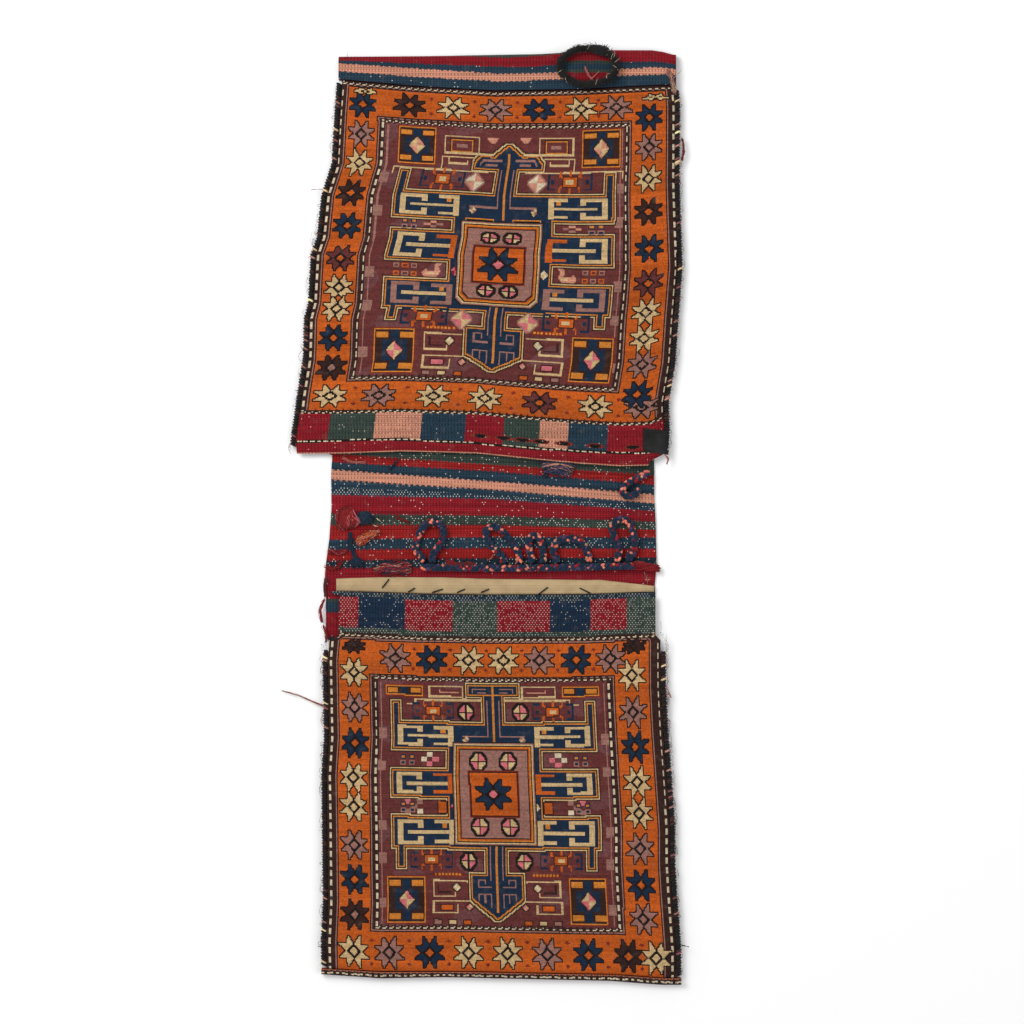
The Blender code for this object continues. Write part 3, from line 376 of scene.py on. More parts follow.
    def star(self, x: float, y: float, wide: float, tall: float, dye: Dye, heart: Dye = Dye.ORANGE) -> None:
        """An eight-pointed star with a dark rim and a rimmed diamond at its heart.

        Args:
            x, y: its middle.
            wide, tall: half its size.
            dye: its own yarn.
            heart: the yarn of the diamond.
        """
        tips = ((1.0, 0.42), (0.47, 0.42), (0.42, 1.0), (0.0, 0.40),
                (-0.42, 1.0), (-0.47, 0.42), (-1.0, 0.42), (-0.50, 0.0))
        ring = tips + tuple((-a, -b) for a, b in tips)
        mask = self.inside([(x + a * wide, y - b * tall) for a, b in ring])
        self.outline(mask, (Dye.DARK,))
        self.paint(mask, dye)
        for grow, yarn in ((0.50, Dye.DARK), (0.27, heart)):
            self.fill([(x + a * wide * grow, y + b * tall * grow)
                       for a, b in ((-1, 0), (0, -1), (1, 0), (0, 1))], yarn)


@dataclass(frozen=True)
class FigureLevels:
    """Where the hooked figure's parts lie down the field, in percent of its height.

    Args:
        axis: its middle line, in percent of the field's width.
        arms: upper and lower edge of each pair of arms.
        panel, low_panel: the panels with the small orange figures, above and below the arms.
        medallion: its upper and lower edge.
        shoulder, heel, tip: where the lower arrow starts, turns in and ends.
        pointed: whether the upper arrow is drawn whole.
    """

    axis: float
    arms: tuple[tuple[float, float], ...]
    panel: tuple[float, float]
    medallion: tuple[float, float]
    low_panel: tuple[float, float]
    shoulder: float
    heel: float
    tip: float
    pointed: bool

    def out(self, side: int, points: Sequence[Point]) -> list[Point]:
        """Places points that are given by their distance from the axis.

        Args:
            side: 1 for the right half and -1 for the left one.
            points: each one's distance from the axis and its height.

        Returns:
            The points in the drawing.
        """
        return [(self.axis + side * a, b) for a, b in points]


@dataclass(frozen=True)
class HookedFigure:
    """The field's figure: a navy body with three pairs of arms, an arrow at each end and a medallion."""

    levels: FigureLevels

    def draw(self, c: Cartoon) -> None:
        """Paints the whole field, from the ground up.

        Args:
            c: the drawing.
        """
        v = self.levels
        self.ground(c)
        body = self.body(c)
        c.paint(body, Dye.NAVY)
        c.outline(body, (Dye.BRASS, Dye.DARK, Dye.CREAM, Dye.BROWN))
        self.stems(c)
        for side in (-1, 1):
            self.corner(c, side)
            self.hooks(c, side)
            self.spider_panel(c, side, *v.panel, True)
            self.spider_panel(c, side, *v.low_panel, False)
            for number, (high, low) in enumerate(v.arms):
                self.bracket(c, side, high, low, number)
            self.notches(c, side)
        self.medallion(c)

    def ground(self, c: Cartoon) -> None:
        """Aubergine with thin mauve lines beside the guards.

        Args:
            c: the drawing.
        """
        c.box(0, 0, 100, 100, Dye.AUBERGINE)
        cloud = np.sin(c.x * 0.21 + 1.7 * np.sin(c.y * 0.13)) + np.sin(c.y * 0.33 + c.x * 0.05)
        c.paint((cloud > 1.15) & (c.x > 0) & (c.x < 100) & (c.y > 0) & (c.y < 100), Dye.PLUM)
        for x in (2.2, 97.8):
            c.line([(x, 2), (x, 98)], Dye.MAUVE, 0.7)
        for y in (20, 33, 57, 70, 88):
            c.box(0.8, y, 4.4, y + 4, Dye.MAUVE)
            c.box(95.8, y + 2, 99.2, y + 6, Dye.MAUVE)

    def body(self, c: Cartoon) -> np.ndarray:
        """The navy silhouette.

        Args:
            c: the drawing.

        Returns:
            A mask of its stitches.
        """
        v, x = self.levels, c.x - self.levels.axis
        off, y = np.abs(x), c.y
        mask = np.zeros(c.x.shape, bool)
        for high, low in v.arms:
            mask |= (off < 42.6) & (off > 17) & (y > high - 0.6) & (y < low + 0.6)
        mask |= (off > 40.4) & (off < 42.6) & (y > v.panel[0] + 1.8) & (y < v.arms[0][1])
        mask |= (off < 18.6) & (y > v.arms[0][0] - 0.6) & (y < v.arms[0][1] + 0.6)
        mask |= (off > 15) & (off < 19) & (y > v.arms[0][0]) & (y < v.arms[2][1])
        mask |= (off < 19) & (y > v.medallion[1] - 1) & (y < v.low_panel[0] - 1.4)
        mask |= (off > 38.6) & (off < 40.6) & (y > v.arms[2][0]) & (y < v.low_panel[1] - 2.2)
        mask |= (off < 3.6) & (y > v.panel[0] - 2) & (y < v.heel)
        foot = ((-10.2, v.shoulder + 1.4), (10.2, v.shoulder + 1.4), (10.2, v.heel), (0, v.tip - 2.4),
                (-10.2, v.heel))
        mask |= c.inside(v.out(1, foot))
        if v.pointed:
            head = ((0, 7.6), (5.6, 12.2), (11, 11.8), (13.4, 14.6), (13.4, 16.2), (3.6, 16.4), (-3.6, 16.4),
                    (-13.4, 16.2), (-13.4, 14.6), (-11, 11.8), (-5.6, 12.2))
            mask |= c.inside(v.out(1, head))
        else:
            mask |= (off < 10.2) & (y > 2.4) & (y < 6.0)
        return mask

    def stems(self, c: Cartoon) -> None:
        """The orange middle line, the mauve lines beside it and the combs in both arrows.

        Args:
            c: the drawing.
        """
        v = self.levels
        top = 11 if v.pointed else 3.0
        for side in (-1, 1):
            y0, turn = v.shoulder + 3, v.arms[0][1] - 4
            c.line(v.out(side, ((2.5, v.panel[0]), (2.5, turn), (13, turn))), Dye.MAUVE, 0.55)
            c.line(v.out(side, ((2.5, v.medallion[1] + 1), (2.5, y0))), Dye.MAUVE, 0.55)
            comb = ((2.5, y0 + 3.2), (7.6, y0 + 3.2), (7.6, y0), (4.8, y0), (4.8, y0 + 1.4))
            c.line(v.out(side, comb), Dye.MAUVE, 0.5)
            tail = ((2.4, v.heel + 3.4), (2.4, v.heel - 1.6), (7.8, v.heel - 1.6), (7.8, v.heel + 0.6))
            c.line(v.out(side, tail), Dye.MAUVE, 0.5)
            c.line(v.out(side, ((5.1, v.heel - 1.6), (5.1, v.heel + 1.6))), Dye.MAUVE, 0.5)
            if v.pointed:
                c.line(v.out(side, ((3, 13.2), (10.4, 13.2), (11.6, 15.2))), Dye.MAUVE)
                c.line(v.out(side, ((4.6, 15), (9, 15))), Dye.MAUVE, 0.5)
            else:
                c.line(v.out(side, ((8.6, 5.2), (8.6, 3.4), (3, 3.4))), Dye.MAUVE, 0.5)
                c.line(v.out(side, ((3, 5.2), (6.4, 5.2))), Dye.MAUVE, 0.5)
            c.diamond(v.axis + side * 12, v.arms[0][1] - 2.6, 1.5, 1.7, (Dye.CREAM, Dye.MAUVE))
        c.line([(v.axis, top), (v.axis, v.arms[0][1] + 0.8)], Dye.BRASS, 0.8)
        c.line([(v.axis, v.medallion[1] + 1), (v.axis, v.tip - 5)], Dye.BRASS, 0.8)

    def corner(self, c: Cartoon, side: int) -> None:
        """A boxed navy double T with brass bars and a quartered diamond, below and above.

        Args:
            c: the drawing.
            side: 1 for the right half and -1 for the left one.
        """
        v = self.levels
        tops = [(v.low_panel[1] + 2.6, 97.6)]
        if v.pointed:
            tops.append((1.8, 15.6))
        for y0, y1 in tops:
            near, far = v.axis + side * 30.4, v.axis + side * 45.0
            c.framed(near, y0, far, y1, (Dye.BROWN, Dye.BRASS, Dye.RUST))
            h, middle = y1 - y0, (near + far) / 2
            c.box(middle - 4.8, y0 + h * 0.26, middle + 4.8, y1 - h * 0.26, Dye.NAVY)
            c.box(middle - 1.6, y0 + 0.4, middle + 1.6, y1 - 0.4, Dye.NAVY)
            for a in (-4.6, 4.6):
                for b in (0.13, 0.87):
                    y = y0 + h * b
                    c.box(middle + a - 2.3, y - h * 0.065, middle + a + 2.3, y + h * 0.065, Dye.BRASS)
            lead = Dye.PINK if y0 > 50 else Dye.SALMON
            c.diamond(middle, (y0 + y1) / 2, 3.1, 3.6, (lead, Dye.CREAM, Dye.BROWN))
        if not v.pointed:
            near, far = v.axis + side * 30.2, v.axis + side * 45.2
            c.framed(near, 3.0, far, 6.2, (Dye.BROWN, Dye.BRASS, Dye.RUST))
            middle = (near + far) / 2
            c.box(middle - 1.6, 3.0, middle + 1.6, 6.2, Dye.NAVY)
            for a in (-4.8, 4.8):
                c.box(middle + a - 2.2, 3.7, middle + a + 2.2, 5.4, Dye.BRASS)

    def hooks(self, c: Cartoon, side: int) -> None:
        """Lined hook boxes beside the arrows, with small squares and diamonds.

        Args:
            c: the drawing.
            side: 1 for the right half and -1 for the left one.
        """
        v, s = self.levels, side

        def at(*points: Point) -> list[Point]:
            """The points on this side of the axis."""
            return v.out(s, points)

        if v.pointed:
            c.framed(v.axis + s * 15.2, 6.0, v.axis + s * 23.4, 9.8, (Dye.AUBERGINE, Dye.BRASS, Dye.BROWN))
            c.box(v.axis + s * 17, 7.3, v.axis + s * 21.4, 8.5, Dye.MAUVE)
            c.line(at((12.4, 10.9), (12.4, 4.4), (26.2, 4.4), (26.2, 10.9), (6.4, 10.9)), Dye.CREAM)
            c.line(at((27, 17.0), (27, 12.4), (14.6, 12.4)), Dye.CREAM, 0.5)
            c.line(at((24.6, 12.4), (24.6, 15), (17, 15), (17, 13.8)), Dye.CREAM, 0.5)
            c.fill(at((4.2, 4.2), (9.2, 4.2), (7.6, 6.4), (6.0, 6.4)), Dye.SALMON)
        else:
            c.line(at((11.6, 7.4), (12.6, 7.4), (12.6, 5.6), (12.6, 2.6), (27, 2.6), (27, 6.8), (13.4, 6.8)),
                   Dye.CREAM, 0.55)
            c.line(at((14.8, 4.9), (22.6, 4.9), (22.6, 4.0)), Dye.SALMON, 0.5)
        y = v.low_panel[1]
        c.box(v.axis + s * 14.4, y + 0.6, v.axis + s * 26.6, y + 2.2, Dye.RUST)
        for k in range(8):
            c.box(v.axis + s * (15 + 1.42 * k), y + 0.9, v.axis + s * (15.9 + 1.42 * k), y + 1.9, Dye.BRASS)
        y += 3.6
        c.line(at((12.2, y + 0.4), (26.2, y), (26.2, y + 6.4), (17.6, y + 6.4), (17.6, y + 4.6)), Dye.CREAM)
        c.line(at((24.4, y + 1.8), (24.4, y + 4.8), (19.6, y + 4.8)), Dye.BROWN, 0.8)
        c.diamond(v.axis + s * 16.8, y + 2.9, 1.7, 1.7, (Dye.CREAM, Dye.WHITE, Dye.BROWN))
        y = v.heel + 1.2
        c.line(at((11.2, y), (26.6, y), (26.6, y + 4.8), (16.4, y + 4.8), (16.4, y + 1.6)), Dye.CREAM)
        c.framed(v.axis + s * 18.8, y + 1.6, v.axis + s * 23.2, y + 3.6,
                 (Dye.PINK if v.pointed else Dye.ORANGE, Dye.BROWN))
        for k, dye in enumerate((Dye.ORANGE, Dye.CREAM, Dye.MAUVE)):
            x = 11.4 + 6.0 * k
            c.framed(v.axis + s * x, 96.8, v.axis + s * (x + 2.6), 98.4, (dye, Dye.BROWN))
        c.diamond(v.axis + s * 11.6, v.heel + 3.6, 1.3, 1.3, (Dye.CREAM, Dye.PINK, Dye.BROWN))

    def spider_panel(self, c: Cartoon, side: int, y0: float, y1: float, top: bool) -> None:
        """A small orange eight-legged figure between navy hooks, and a quartered octagon beside it.

        Args:
            c: the drawing.
            side: 1 for the right half and -1 for the left one.
            y0, y1: the panel's upper and lower edge.
            top: whether it is the panel above the arms.
        """
        v, s = self.levels, side
        x, y = v.axis + s * (25.6 if top else 27), (y0 + y1) / 2 - 0.3
        if top and not v.pointed:
            c.line(v.out(s, ((5.6, y0), (33, y0), (33, y0 + 1.8), (36.6, y0 + 1.8))), Dye.CREAM)
        if top and v.pointed:
            c.line(v.out(s, ((7.4, y0 + 0.8), (46.6, y0 + 0.2), (46.6, y0 + 3))), Dye.CREAM)
        for a in (-1, 1):
            for b in (-1, 1):
                c.line([(x + a * 1.6, y + b * 1.0), (x + a * 4.0, y + b * 2.4), (x + a * 4.0, y + b * 3.6)],
                       Dye.ORANGE, 0.75)
            hook = ((6.0, -2.9), (8.6, -2.9), (8.6, 2.9), (6.0, 2.9))
            c.line([(x + a * p, y + q) for p, q in hook], Dye.NAVY, 0.8)
            c.box(x + a * 6.2, y - 0.7, x + a * 7.6, y + 0.7, Dye.NAVY)
        c.line([(x, y - 3.8), (x, y + 3.8)], Dye.ORANGE, 1.1)
        c.framed(x - 2.6, y - 1.6, x + 2.6, y + 1.6, (Dye.ORANGE, Dye.BROWN))
        c.box(x - 1.5, y - 0.7, x + 1.5, y + 0.7, Dye.CREAM)
        if v.pointed:
            lead = (Dye.SALMON, Dye.WHITE) if top else (Dye.PINK, Dye.CREAM)
            c.diamond(v.axis + s * 12.6, y + 0.6, 3.8, 3.6, (*lead, Dye.MAUVE))
        else:
            c.octagon(v.axis + s * 11.6, y + 0.4, 2.9, 2.8, s)

    def bracket(self, c: Cartoon, side: int, high: float, low: float, number: int) -> None:
        """One arm's nested cream brackets; the middle arm ends in orange.

        Args:
            c: the drawing.
            side: 1 for the right half and -1 for the left one.
            high, low: the arm's upper and lower edge.
            number: which arm it is, from the top.
        """
        v = self.levels
        tall = low - high

        def bar(a0: float, a1: float, b0: float, b1: float, dye: Dye) -> None:
            """A box between shares of the arm's length, from its end, and of its height."""
            x0, x1 = (v.axis + side * (41.0 - 23.6 * a) for a in (a0, a1))
            c.box(x0, high + tall * b0, x1, high + tall * b1, dye)

        pale = Dye.MAUVE if v.pointed and number == 2 else Dye.CREAM
        inner = Dye.ORANGE if number == 1 else pale if v.pointed else Dye.CREAM
        for dye, bars in ((pale, ((0.0, 0.10, 0, 1), (0.0, 0.46, 0, 0.15), (0.0, 0.46, 0.85, 1),
                                  (0.36, 0.46, 0, 0.34), (0.36, 0.46, 0.66, 1))),
                          (Dye.CREAM, ((0.18, 0.94, 0.43, 0.58),)),
                          (inner, ((0.90, 1.0, 0.04, 1), (0.66, 1.0, 0.02, 0.17), (0.66, 1.0, 0.83, 0.97)))):
            for shares in bars:
                bar(*shares, dye)
        if number != 1:
            bar(0.78, 0.86, 0.17, 0.36, Dye.BRASS)

    def notches(self, c: Cartoon, side: int) -> None:
        """The ground between the arms, with small chequers, squares and crested shapes.

        Args:
            c: the drawing.
            side: 1 for the right half and -1 for the left one.
        """
        v = self.levels
        for number, ((_, high), (low, _)) in enumerate(zip(v.arms, v.arms[1:])):
            y, lead = (high + low) / 2, v.axis + side * 24.6
            tall = (low - high - 4.8) / 3
            dyes = (Dye.PINK, Dye.WHITE, Dye.MAUVE) if not v.pointed else (Dye.MAUVE, Dye.SALMON, Dye.BRASS)
            if number == 0 or not v.pointed:
                for i in range(3):
                    for j in range(-1, 2):
                        if (i + j) % 2 == number:
                            x = lead + side * (i * 2.5 + number * 7)
                            c.box(x - 1.25, y + (j - 0.5) * tall, x + 1.25, y + (j + 0.5) * tall,
                                  dyes[(i * 2 + j) % 3])
                far = v.axis + side * 36.6
                for a in (-1.8, 1.8):
                    c.framed(far + a - 0.8, y - 1.3, far + a + 0.8, y - 0.3, (Dye.BRASS, Dye.NAVY))
                    c.framed(far + a - 0.8, y + 1.1, far + a + 0.8, y + 2.0, (Dye.NAVY, Dye.MAUVE))
            if number == 1 and not v.pointed:
                c.framed(v.axis + side * 20.4, y - 2.2, v.axis + side * 23.6, y + 2.2,
                         (Dye.ORANGE, Dye.BROWN))
            if number == 1 and v.pointed:
                self.crest(c, v.axis + side * 25.5, y, side)
                for i in range(3):
                    for j in range(2):
                        x = v.axis + side * (32.8 + 3.2 * i)
                        c.framed(x - 0.7, y - 2.0 + 3.2 * j, x + 0.7, y - 0.8 + 3.2 * j,
                                 (Dye.AUBERGINE, Dye.ORANGE if (i + j) % 2 else Dye.MAUVE))
            for i, dye in enumerate((Dye.RED, Dye.CREAM)):
                if (side > 0) == bool(i) and number == 1:
                    c.diamond(v.axis + side * 17, y, 1.7, 1.9, (dye, Dye.PINK if i == 0 else Dye.WHITE))

    def crest(self, c: Cartoon, x: float, y: float, side: int) -> None:
        """A crested pale shape with a long neck.

        Args:
            c: the drawing.
            x, y: its middle.
            side: 1 for the right half and -1 for the left one.
        """
        shape = ((-4, 1.0), (-3.4, 2.6), (1.6, 2.6), (3.0, 0.6), (2.2, -1.4), (3.6, -2.6), (2.2, -3.0),
                 (0.6, -2.2), (0.9, 0.2), (-1.6, 0.6), (-2.6, -0.6))
        c.fill([(x - side * a, y + b) for a, b in shape], Dye.SALMON)
        c.box(x - 1.8, y + 1.0, x + 0.8, y + 1.7, Dye.CREAM)

    def medallion(self, c: Cartoon) -> None:
        """Nested lines round a mauve ground with four octagons and a navy star in an orange square.

        Args:
            c: the drawing.
        """
        v = self.levels
        y0, y1 = v.medallion
        half, cut = (13.2, 2.6) if v.pointed else (14.2, 0.0)
        mask = (np.abs(c.x - v.axis + 0.4) < half) & (c.y > y0 + 1.8) & (c.y < y1 - 1.8)
        if cut:
            mask &= np.abs(c.x - v.axis + 0.4) + (c.y - (y1 - 1.8 - cut)) < half
        c.paint(mask, Dye.MAUVE)
        c.outline(mask, (Dye.DARK, Dye.ORANGE, Dye.BRASS, Dye.DARK, Dye.CREAM, Dye.MAUVE, Dye.DARK))
        x, y = v.axis - 0.4, (y0 + y1) / 2
        tall = y1 - y0
        for a in (-6.2, 6.2):
            for b in (-0.335, 0.335):
                wide, high = (2.9, 1.75) if v.pointed else (3.1, 3.1)
                c.octagon(x + a * (0.72 if v.pointed else 1.0), y + b * tall, wide, high, 1 if b < 0 else -1)
        h = tall * 0.215
        c.framed(x - 9.6, y - h, x + 9.6, y + h, (Dye.ORANGE, Dye.DARK, Dye.RUST))
        c.star(x - 0.2, y, 7.4, 6.4, Dye.NAVY, Dye.PINK)


@dataclass(frozen=True)
class BorderPlan:
    """The lines of one face's border, as shares of the whole width and of the height below the top guard.

    Args:
        sides: the outer dash, the orange's outer and inner edge and the inner dash, on the left.
        far_sides: the same on the right, from the left edge.
        levels, far_levels: the same four at the top and at the bottom, from the top.
        columns: where the stars of the left and right columns lie, down the border.
        top, bottom: where the stars of both rows lie, across the bag.
        column_dyes, top_dyes, bottom_dyes: a letter of LETTERS for each star.
        sizes: half a star's width and height in the top row, the bottom row and the columns, in percent.
    """

    sides: tuple[float, float, float, float]
    far_sides: tuple[float, float, float, float]
    levels: tuple[float, float, float, float]
    far_levels: tuple[float, float, float, float]
    columns: tuple[tuple[float, ...], tuple[float, ...]]
    column_dyes: tuple[str, str]
    top: tuple[float, ...]
    top_dyes: str
    bottom: tuple[float, ...]
    bottom_dyes: str
    sizes: tuple[tuple[float, float], ...]


LETTERS = {"n": Dye.NAVY, "c": Dye.CREAM, "m": Dye.MAUVE, "b": Dye.BROWN, "a": Dye.AUBERGINE, "r": Dye.RED,
           "u": Dye.RUST, "i": Dye.INK, "p": Dye.PINK, "s": Dye.SCARLET, "l": Dye.SALMON, "w": Dye.WHITE,
           "o": Dye.MOSS, "e": Dye.BLUE, "g": Dye.ORANGE, "d": Dye.DARK, "h": Dye.HAIR, "v": Dye.PURPLE}

UPPER_BORDER = BorderPlan(
    sides=(0.019, 0.037, 0.125, 0.143), far_sides=(0.981, 0.959, 0.862, 0.847),
    levels=(0.008, 0.018, 0.100, 0.112), far_levels=(0.998, 0.990, 0.908, 0.895),
    columns=((0.068, 0.158, 0.245, 0.337, 0.436, 0.535, 0.622, 0.687, 0.774, 0.864),
             (0.093, 0.181, 0.274, 0.372, 0.482, 0.584, 0.669, 0.746, 0.823, 0.911)),
    column_dyes=("nmcbnaccnb", "nmcbnaccmn"),
    top=(0.217, 0.344, 0.466, 0.592, 0.714, 0.815), top_dyes="bcmncm",
    bottom=(0.090, 0.220, 0.366, 0.505, 0.652, 0.802, 0.925), bottom_dyes="cmccacm",
    sizes=((4.3, 2.95), (4.3, 3.05), (3.55, 3.45)))

LOWER_BORDER = BorderPlan(
    sides=(0.025, 0.048, 0.136, 0.154), far_sides=(0.976, 0.950, 0.850, 0.833),
    levels=(0.009, 0.022, 0.119, 0.130), far_levels=(1.030, 1.006, 0.883, 0.870),
    columns=((0.118, 0.223, 0.328, 0.430, 0.517, 0.630, 0.732, 0.836),
             (0.121, 0.229, 0.331, 0.434, 0.525, 0.628, 0.735, 0.834)),
    column_dyes=("cmnccmnb", "cmnccmnm"),
    top=(0.212, 0.318, 0.425, 0.527, 0.632, 0.739, 0.838), top_dyes="mnccmnm",
    bottom=(0.092, 0.190, 0.302, 0.410, 0.518, 0.628, 0.742, 0.853, 0.930), bottom_dyes="cmnccmnbc",
    sizes=((4.1, 3.75), (3.75, 4.45), (3.55, 4.05)))


@dataclass(frozen=True)
class Dash:
    """The dashes of one guard.

    Args:
        pitch: from dash to dash, in metres.
        half: half their width, in metres.
        part: the share of the pitch that a dash takes.
        lean: how far a dash slants along its pitch, in metres.
    """

    pitch: float
    half: float
    part: float
    lean: float


STRAIGHT = Dash(0.0145, 0.00125, 0.62, 0.0)
SLANTED = Dash(0.0090, 0.00080, 0.66, 0.0034)
# How far dark outlines, cream dashes and plain weave lie from the worked field's level, in metres
OUTLINE_LEVEL, DASH_LEVEL, PLAIN_LEVEL = -0.00035, 0.0003, -0.0006
GUARD_HALF = 0.0030  # half the width of a guard's dark ground, in metres


@dataclass
class PocketFace:
    """One pocket's worked front with its closing band, as a sheet of single stitches.

    Args:
        name: the piece's name.
        node: the node that it stands for.
        upper: whether it is the upper pocket.
        panel: where it lies.
        border, figure: what is drawn on it.
        squares: the closing band's dyes, each with the share of the width at which it ends.
        slits: shares of the width at which the closing loops pass.
        columns, rows: how many stitches it has.
    """

    name: str
    node: str
    upper: bool
    panel: Panel
    border: BorderPlan
    figure: HookedFigure
    squares: tuple[tuple[Dye, float], ...]
    slits: tuple[float, ...] = ()
    columns: int = 306
    rows: int = 318

    def shares(self, across: np.ndarray, up: np.ndarray) -> tuple[np.ndarray, np.ndarray, np.ndarray]:
        """Each stitch's share of the whole width, its share down the border, and its share of the band.

        Args:
            across, up: each stitch's place, as shares of the sheet.

        Returns:
            The share of the width, the share down the border and the share of the band.
        """
        x, y = self.panel.place(across, up)
        left, right = PLAN.side_edges(y + MIDDLE[1])
        wide = (x + MIDDLE[0] - left) / (right - left)
        if self.upper:
            band = PLAN.closing_band / (self.panel.high - self.panel.low)
            return wide, 1 - (up - band) / (1 - band), up / band
        sag = 0.0030 * (1 - 4 * wide * (1 - wide))
        band = (PLAN.lower_band - 0.0045 - sag) / (self.panel.high - self.panel.low)
        return wide, 1 - up / (1 - band), (1 - up) / band

    def draw(self, across: np.ndarray, up: np.ndarray) -> tuple[np.ndarray, np.ndarray]:
        """Paints every stitch.

        Args:
            across, up: each stitch's place, as shares of the sheet.

        Returns:
            The dye of each stitch, and a mask of the plainly woven ones.
        """
        u, v, band = self.shares(across, up)
        b = self.border
        x = 100 * (u - b.sides[3]) / (b.far_sides[3] - b.sides[3])
        y = 100 * (v - b.levels[3]) / (b.far_levels[3] - b.levels[3])
        page = Cartoon(x, y, self.rows, self.columns)
        self.figure.draw(page)
        edge = Cartoon(u * 100, v * 100, self.rows, self.columns)
        edge.dye = page.dye
        outside = (x < 0) | (x > 100) | (y < 0) | (y > 100)
        edge.paint(outside, Dye.BROWN)
        self.draw_border(edge, u, v)
        plain = v > 1.0 if self.upper else v < 0.0
        self.draw_band(edge, u, band, plain)
        return edge.dye, plain

    def draw_border(self, c: Cartoon, u: np.ndarray, v: np.ndarray) -> None:
        """The orange border with its stars, between two dashed guards.

        Args:
            c: the drawing.
            u, v: each stitch's share of the width and down the border.
        """
        b = self.border
        orange = (u > b.sides[1]) & (u < b.far_sides[1]) & (v > b.levels[1]) & (v < b.far_levels[1])
        inner = (u > b.sides[2]) & (u < b.far_sides[2]) & (v > b.levels[2]) & (v < b.far_levels[2])
        ring = orange & ~inner
        rim = c.grown(orange)
        c.paint(c.grown(rim) & ~orange, Dye.MAUVE)
        c.paint(rim & ~orange, Dye.DARK)
        c.paint(ring, Dye.ORANGE)
        c.paint(c.grown(c.grown(ring)) & inner, Dye.MAUVE)
        c.paint(c.grown(ring) & inner, Dye.DARK)
        pad = 0.006
        for level in (b.sides[0] + (0.002 if self.upper else 0), b.far_sides[0]):
            self.dashes(c, u, v, level, STRAIGHT, (0, 1))
        for level in (b.sides[3], b.far_sides[3]):
            self.dashes(c, u, v, level, STRAIGHT, (b.levels[3], b.far_levels[3]))
        for level in (b.levels[0], b.far_levels[0]):
            self.dashes(c, v, u, level, SLANTED, (0.012, 0.988))
        for level in (b.levels[3], b.far_levels[3]):
            self.dashes(c, v, u, level, SLANTED, (b.sides[3] - pad, b.far_sides[3] + pad))
        left, right = (b.sides[1] + b.sides[2]) / 2, (b.far_sides[1] + b.far_sides[2]) / 2
        top, bottom = (b.levels[1] + b.levels[2]) / 2, (b.far_levels[1] + b.far_levels[2]) / 2
        for row, dyes, level, (wide, tall) in ((b.top, b.top_dyes, top, b.sizes[0]),
                                               (b.bottom, b.bottom_dyes, bottom, b.sizes[1])):
            for one, two in zip(row, row[1:]):
                for side in (-0.78, 0.78):
                    c.diamond(50 * (one + two), 100 * level + side * tall, 0.7, 0.6, (Dye.RUST, Dye.RUST))
            for place, letter in zip(row, dyes):
                heart = LETTERS[letter] if letter in "cm" else Dye.ORANGE
                c.star(100 * place, 100 * level, wide + 0.35, tall + 0.35, LETTERS[letter], heart)
        wide, tall = b.sizes[2]
        for column, dyes, x in zip(b.columns, b.column_dyes, (left, right)):
            for place, letter in zip(column, dyes):
                heart = LETTERS[letter] if letter in "cm" else Dye.ORANGE
                heart = Dye.MAUVE if letter == "b" and place > 0.8 else heart
                c.star(100 * x, 100 * place, wide + 0.35, tall + 0.45, LETTERS[letter], heart)
        parts = ((0.086, 0.028), (0.930, 0.034)) if self.upper else ((0.090, 0.040), (0.905, 0.036))
        for x, y in parts:
            wide, tall, dye = (4.2, 0.9, Dye.CREAM) if self.upper else (3.4, 2.1, Dye.BROWN)
            c.star(100 * x, 100 * y, wide, tall, dye, dye)

    def dashes(self, c: Cartoon, off: np.ndarray, run: np.ndarray, level: float, dash: Dash,
               span: tuple[float, float]) -> None:
        """A row of cream dashes on the dark guard.

        Args:
            c: the drawing.
            off, run: shares across and along the guard.
            level: where the guard lies.
            dash: SLANTED on the guards across the bag, STRAIGHT on those along it.
            span: where it starts and ends.
        """
        tall = self.panel.high - self.panel.low
        size, across = (PLAN.pocket_width, tall) if dash is SLANTED else (tall, PLAN.pocket_width)
        within = (run > span[0]) & (run < span[1])
        phase = (run * size / dash.pitch) % 1.0
        place = (off - level) * across + dash.lean * (phase - 0.4)
        c.paint((np.abs(place) < GUARD_HALF) & within, Dye.BROWN)
        c.paint((np.abs(place) < dash.half) & within & (phase < dash.part), Dye.WHITE)

    def draw_band(self, c: Cartoon, u: np.ndarray, band: np.ndarray, plain: np.ndarray) -> None:
        """The closing band's squares, its chain line and the lip.

        Args:
            c: the drawing.
            u, band: each stitch's share of the width and of the band.
            plain: which stitches are plainly woven.
        """
        start = 0.0
        for dye, end in self.squares:
            c.paint(plain & (u >= start) & (u < end), dye)
            start = end
        if self.upper:
            chain = 0.29 + 0.03 * np.sin(9 * u)
            c.paint(plain & (band < chain), Dye.RED)
            c.paint(plain & (band < 0.022), Dye.SALMON)
            c.paint(plain & (np.abs(band - chain) < 0.034), Dye.DARK)
            phase = (u / 0.0175) % 1.0
            c.paint(plain & (np.abs(band - chain) < 0.014) & (phase < 0.66), Dye.WHITE)
            for share in self.slits:
                lens = ((u - share) / 0.0168) ** 2 + ((band - 0.455) / 0.040) ** 2
                c.paint(plain & (lens < 2.2), Dye.RUST)
                c.paint(plain & (lens < 1), Dye.HAIR)
        else:
            for _, end in self.squares:
                c.paint(plain & (np.abs(u - end) < 0.0024), Dye.RED)
            c.paint(plain & (band > 0.88), Dye.MOSS)
            c.paint(plain & (band < 0.13), Dye.INK)
            c.paint(plain & (np.abs(band - 0.085) < 0.010) & ((u / 0.0175) % 1.0 < 0.62), Dye.WHITE)

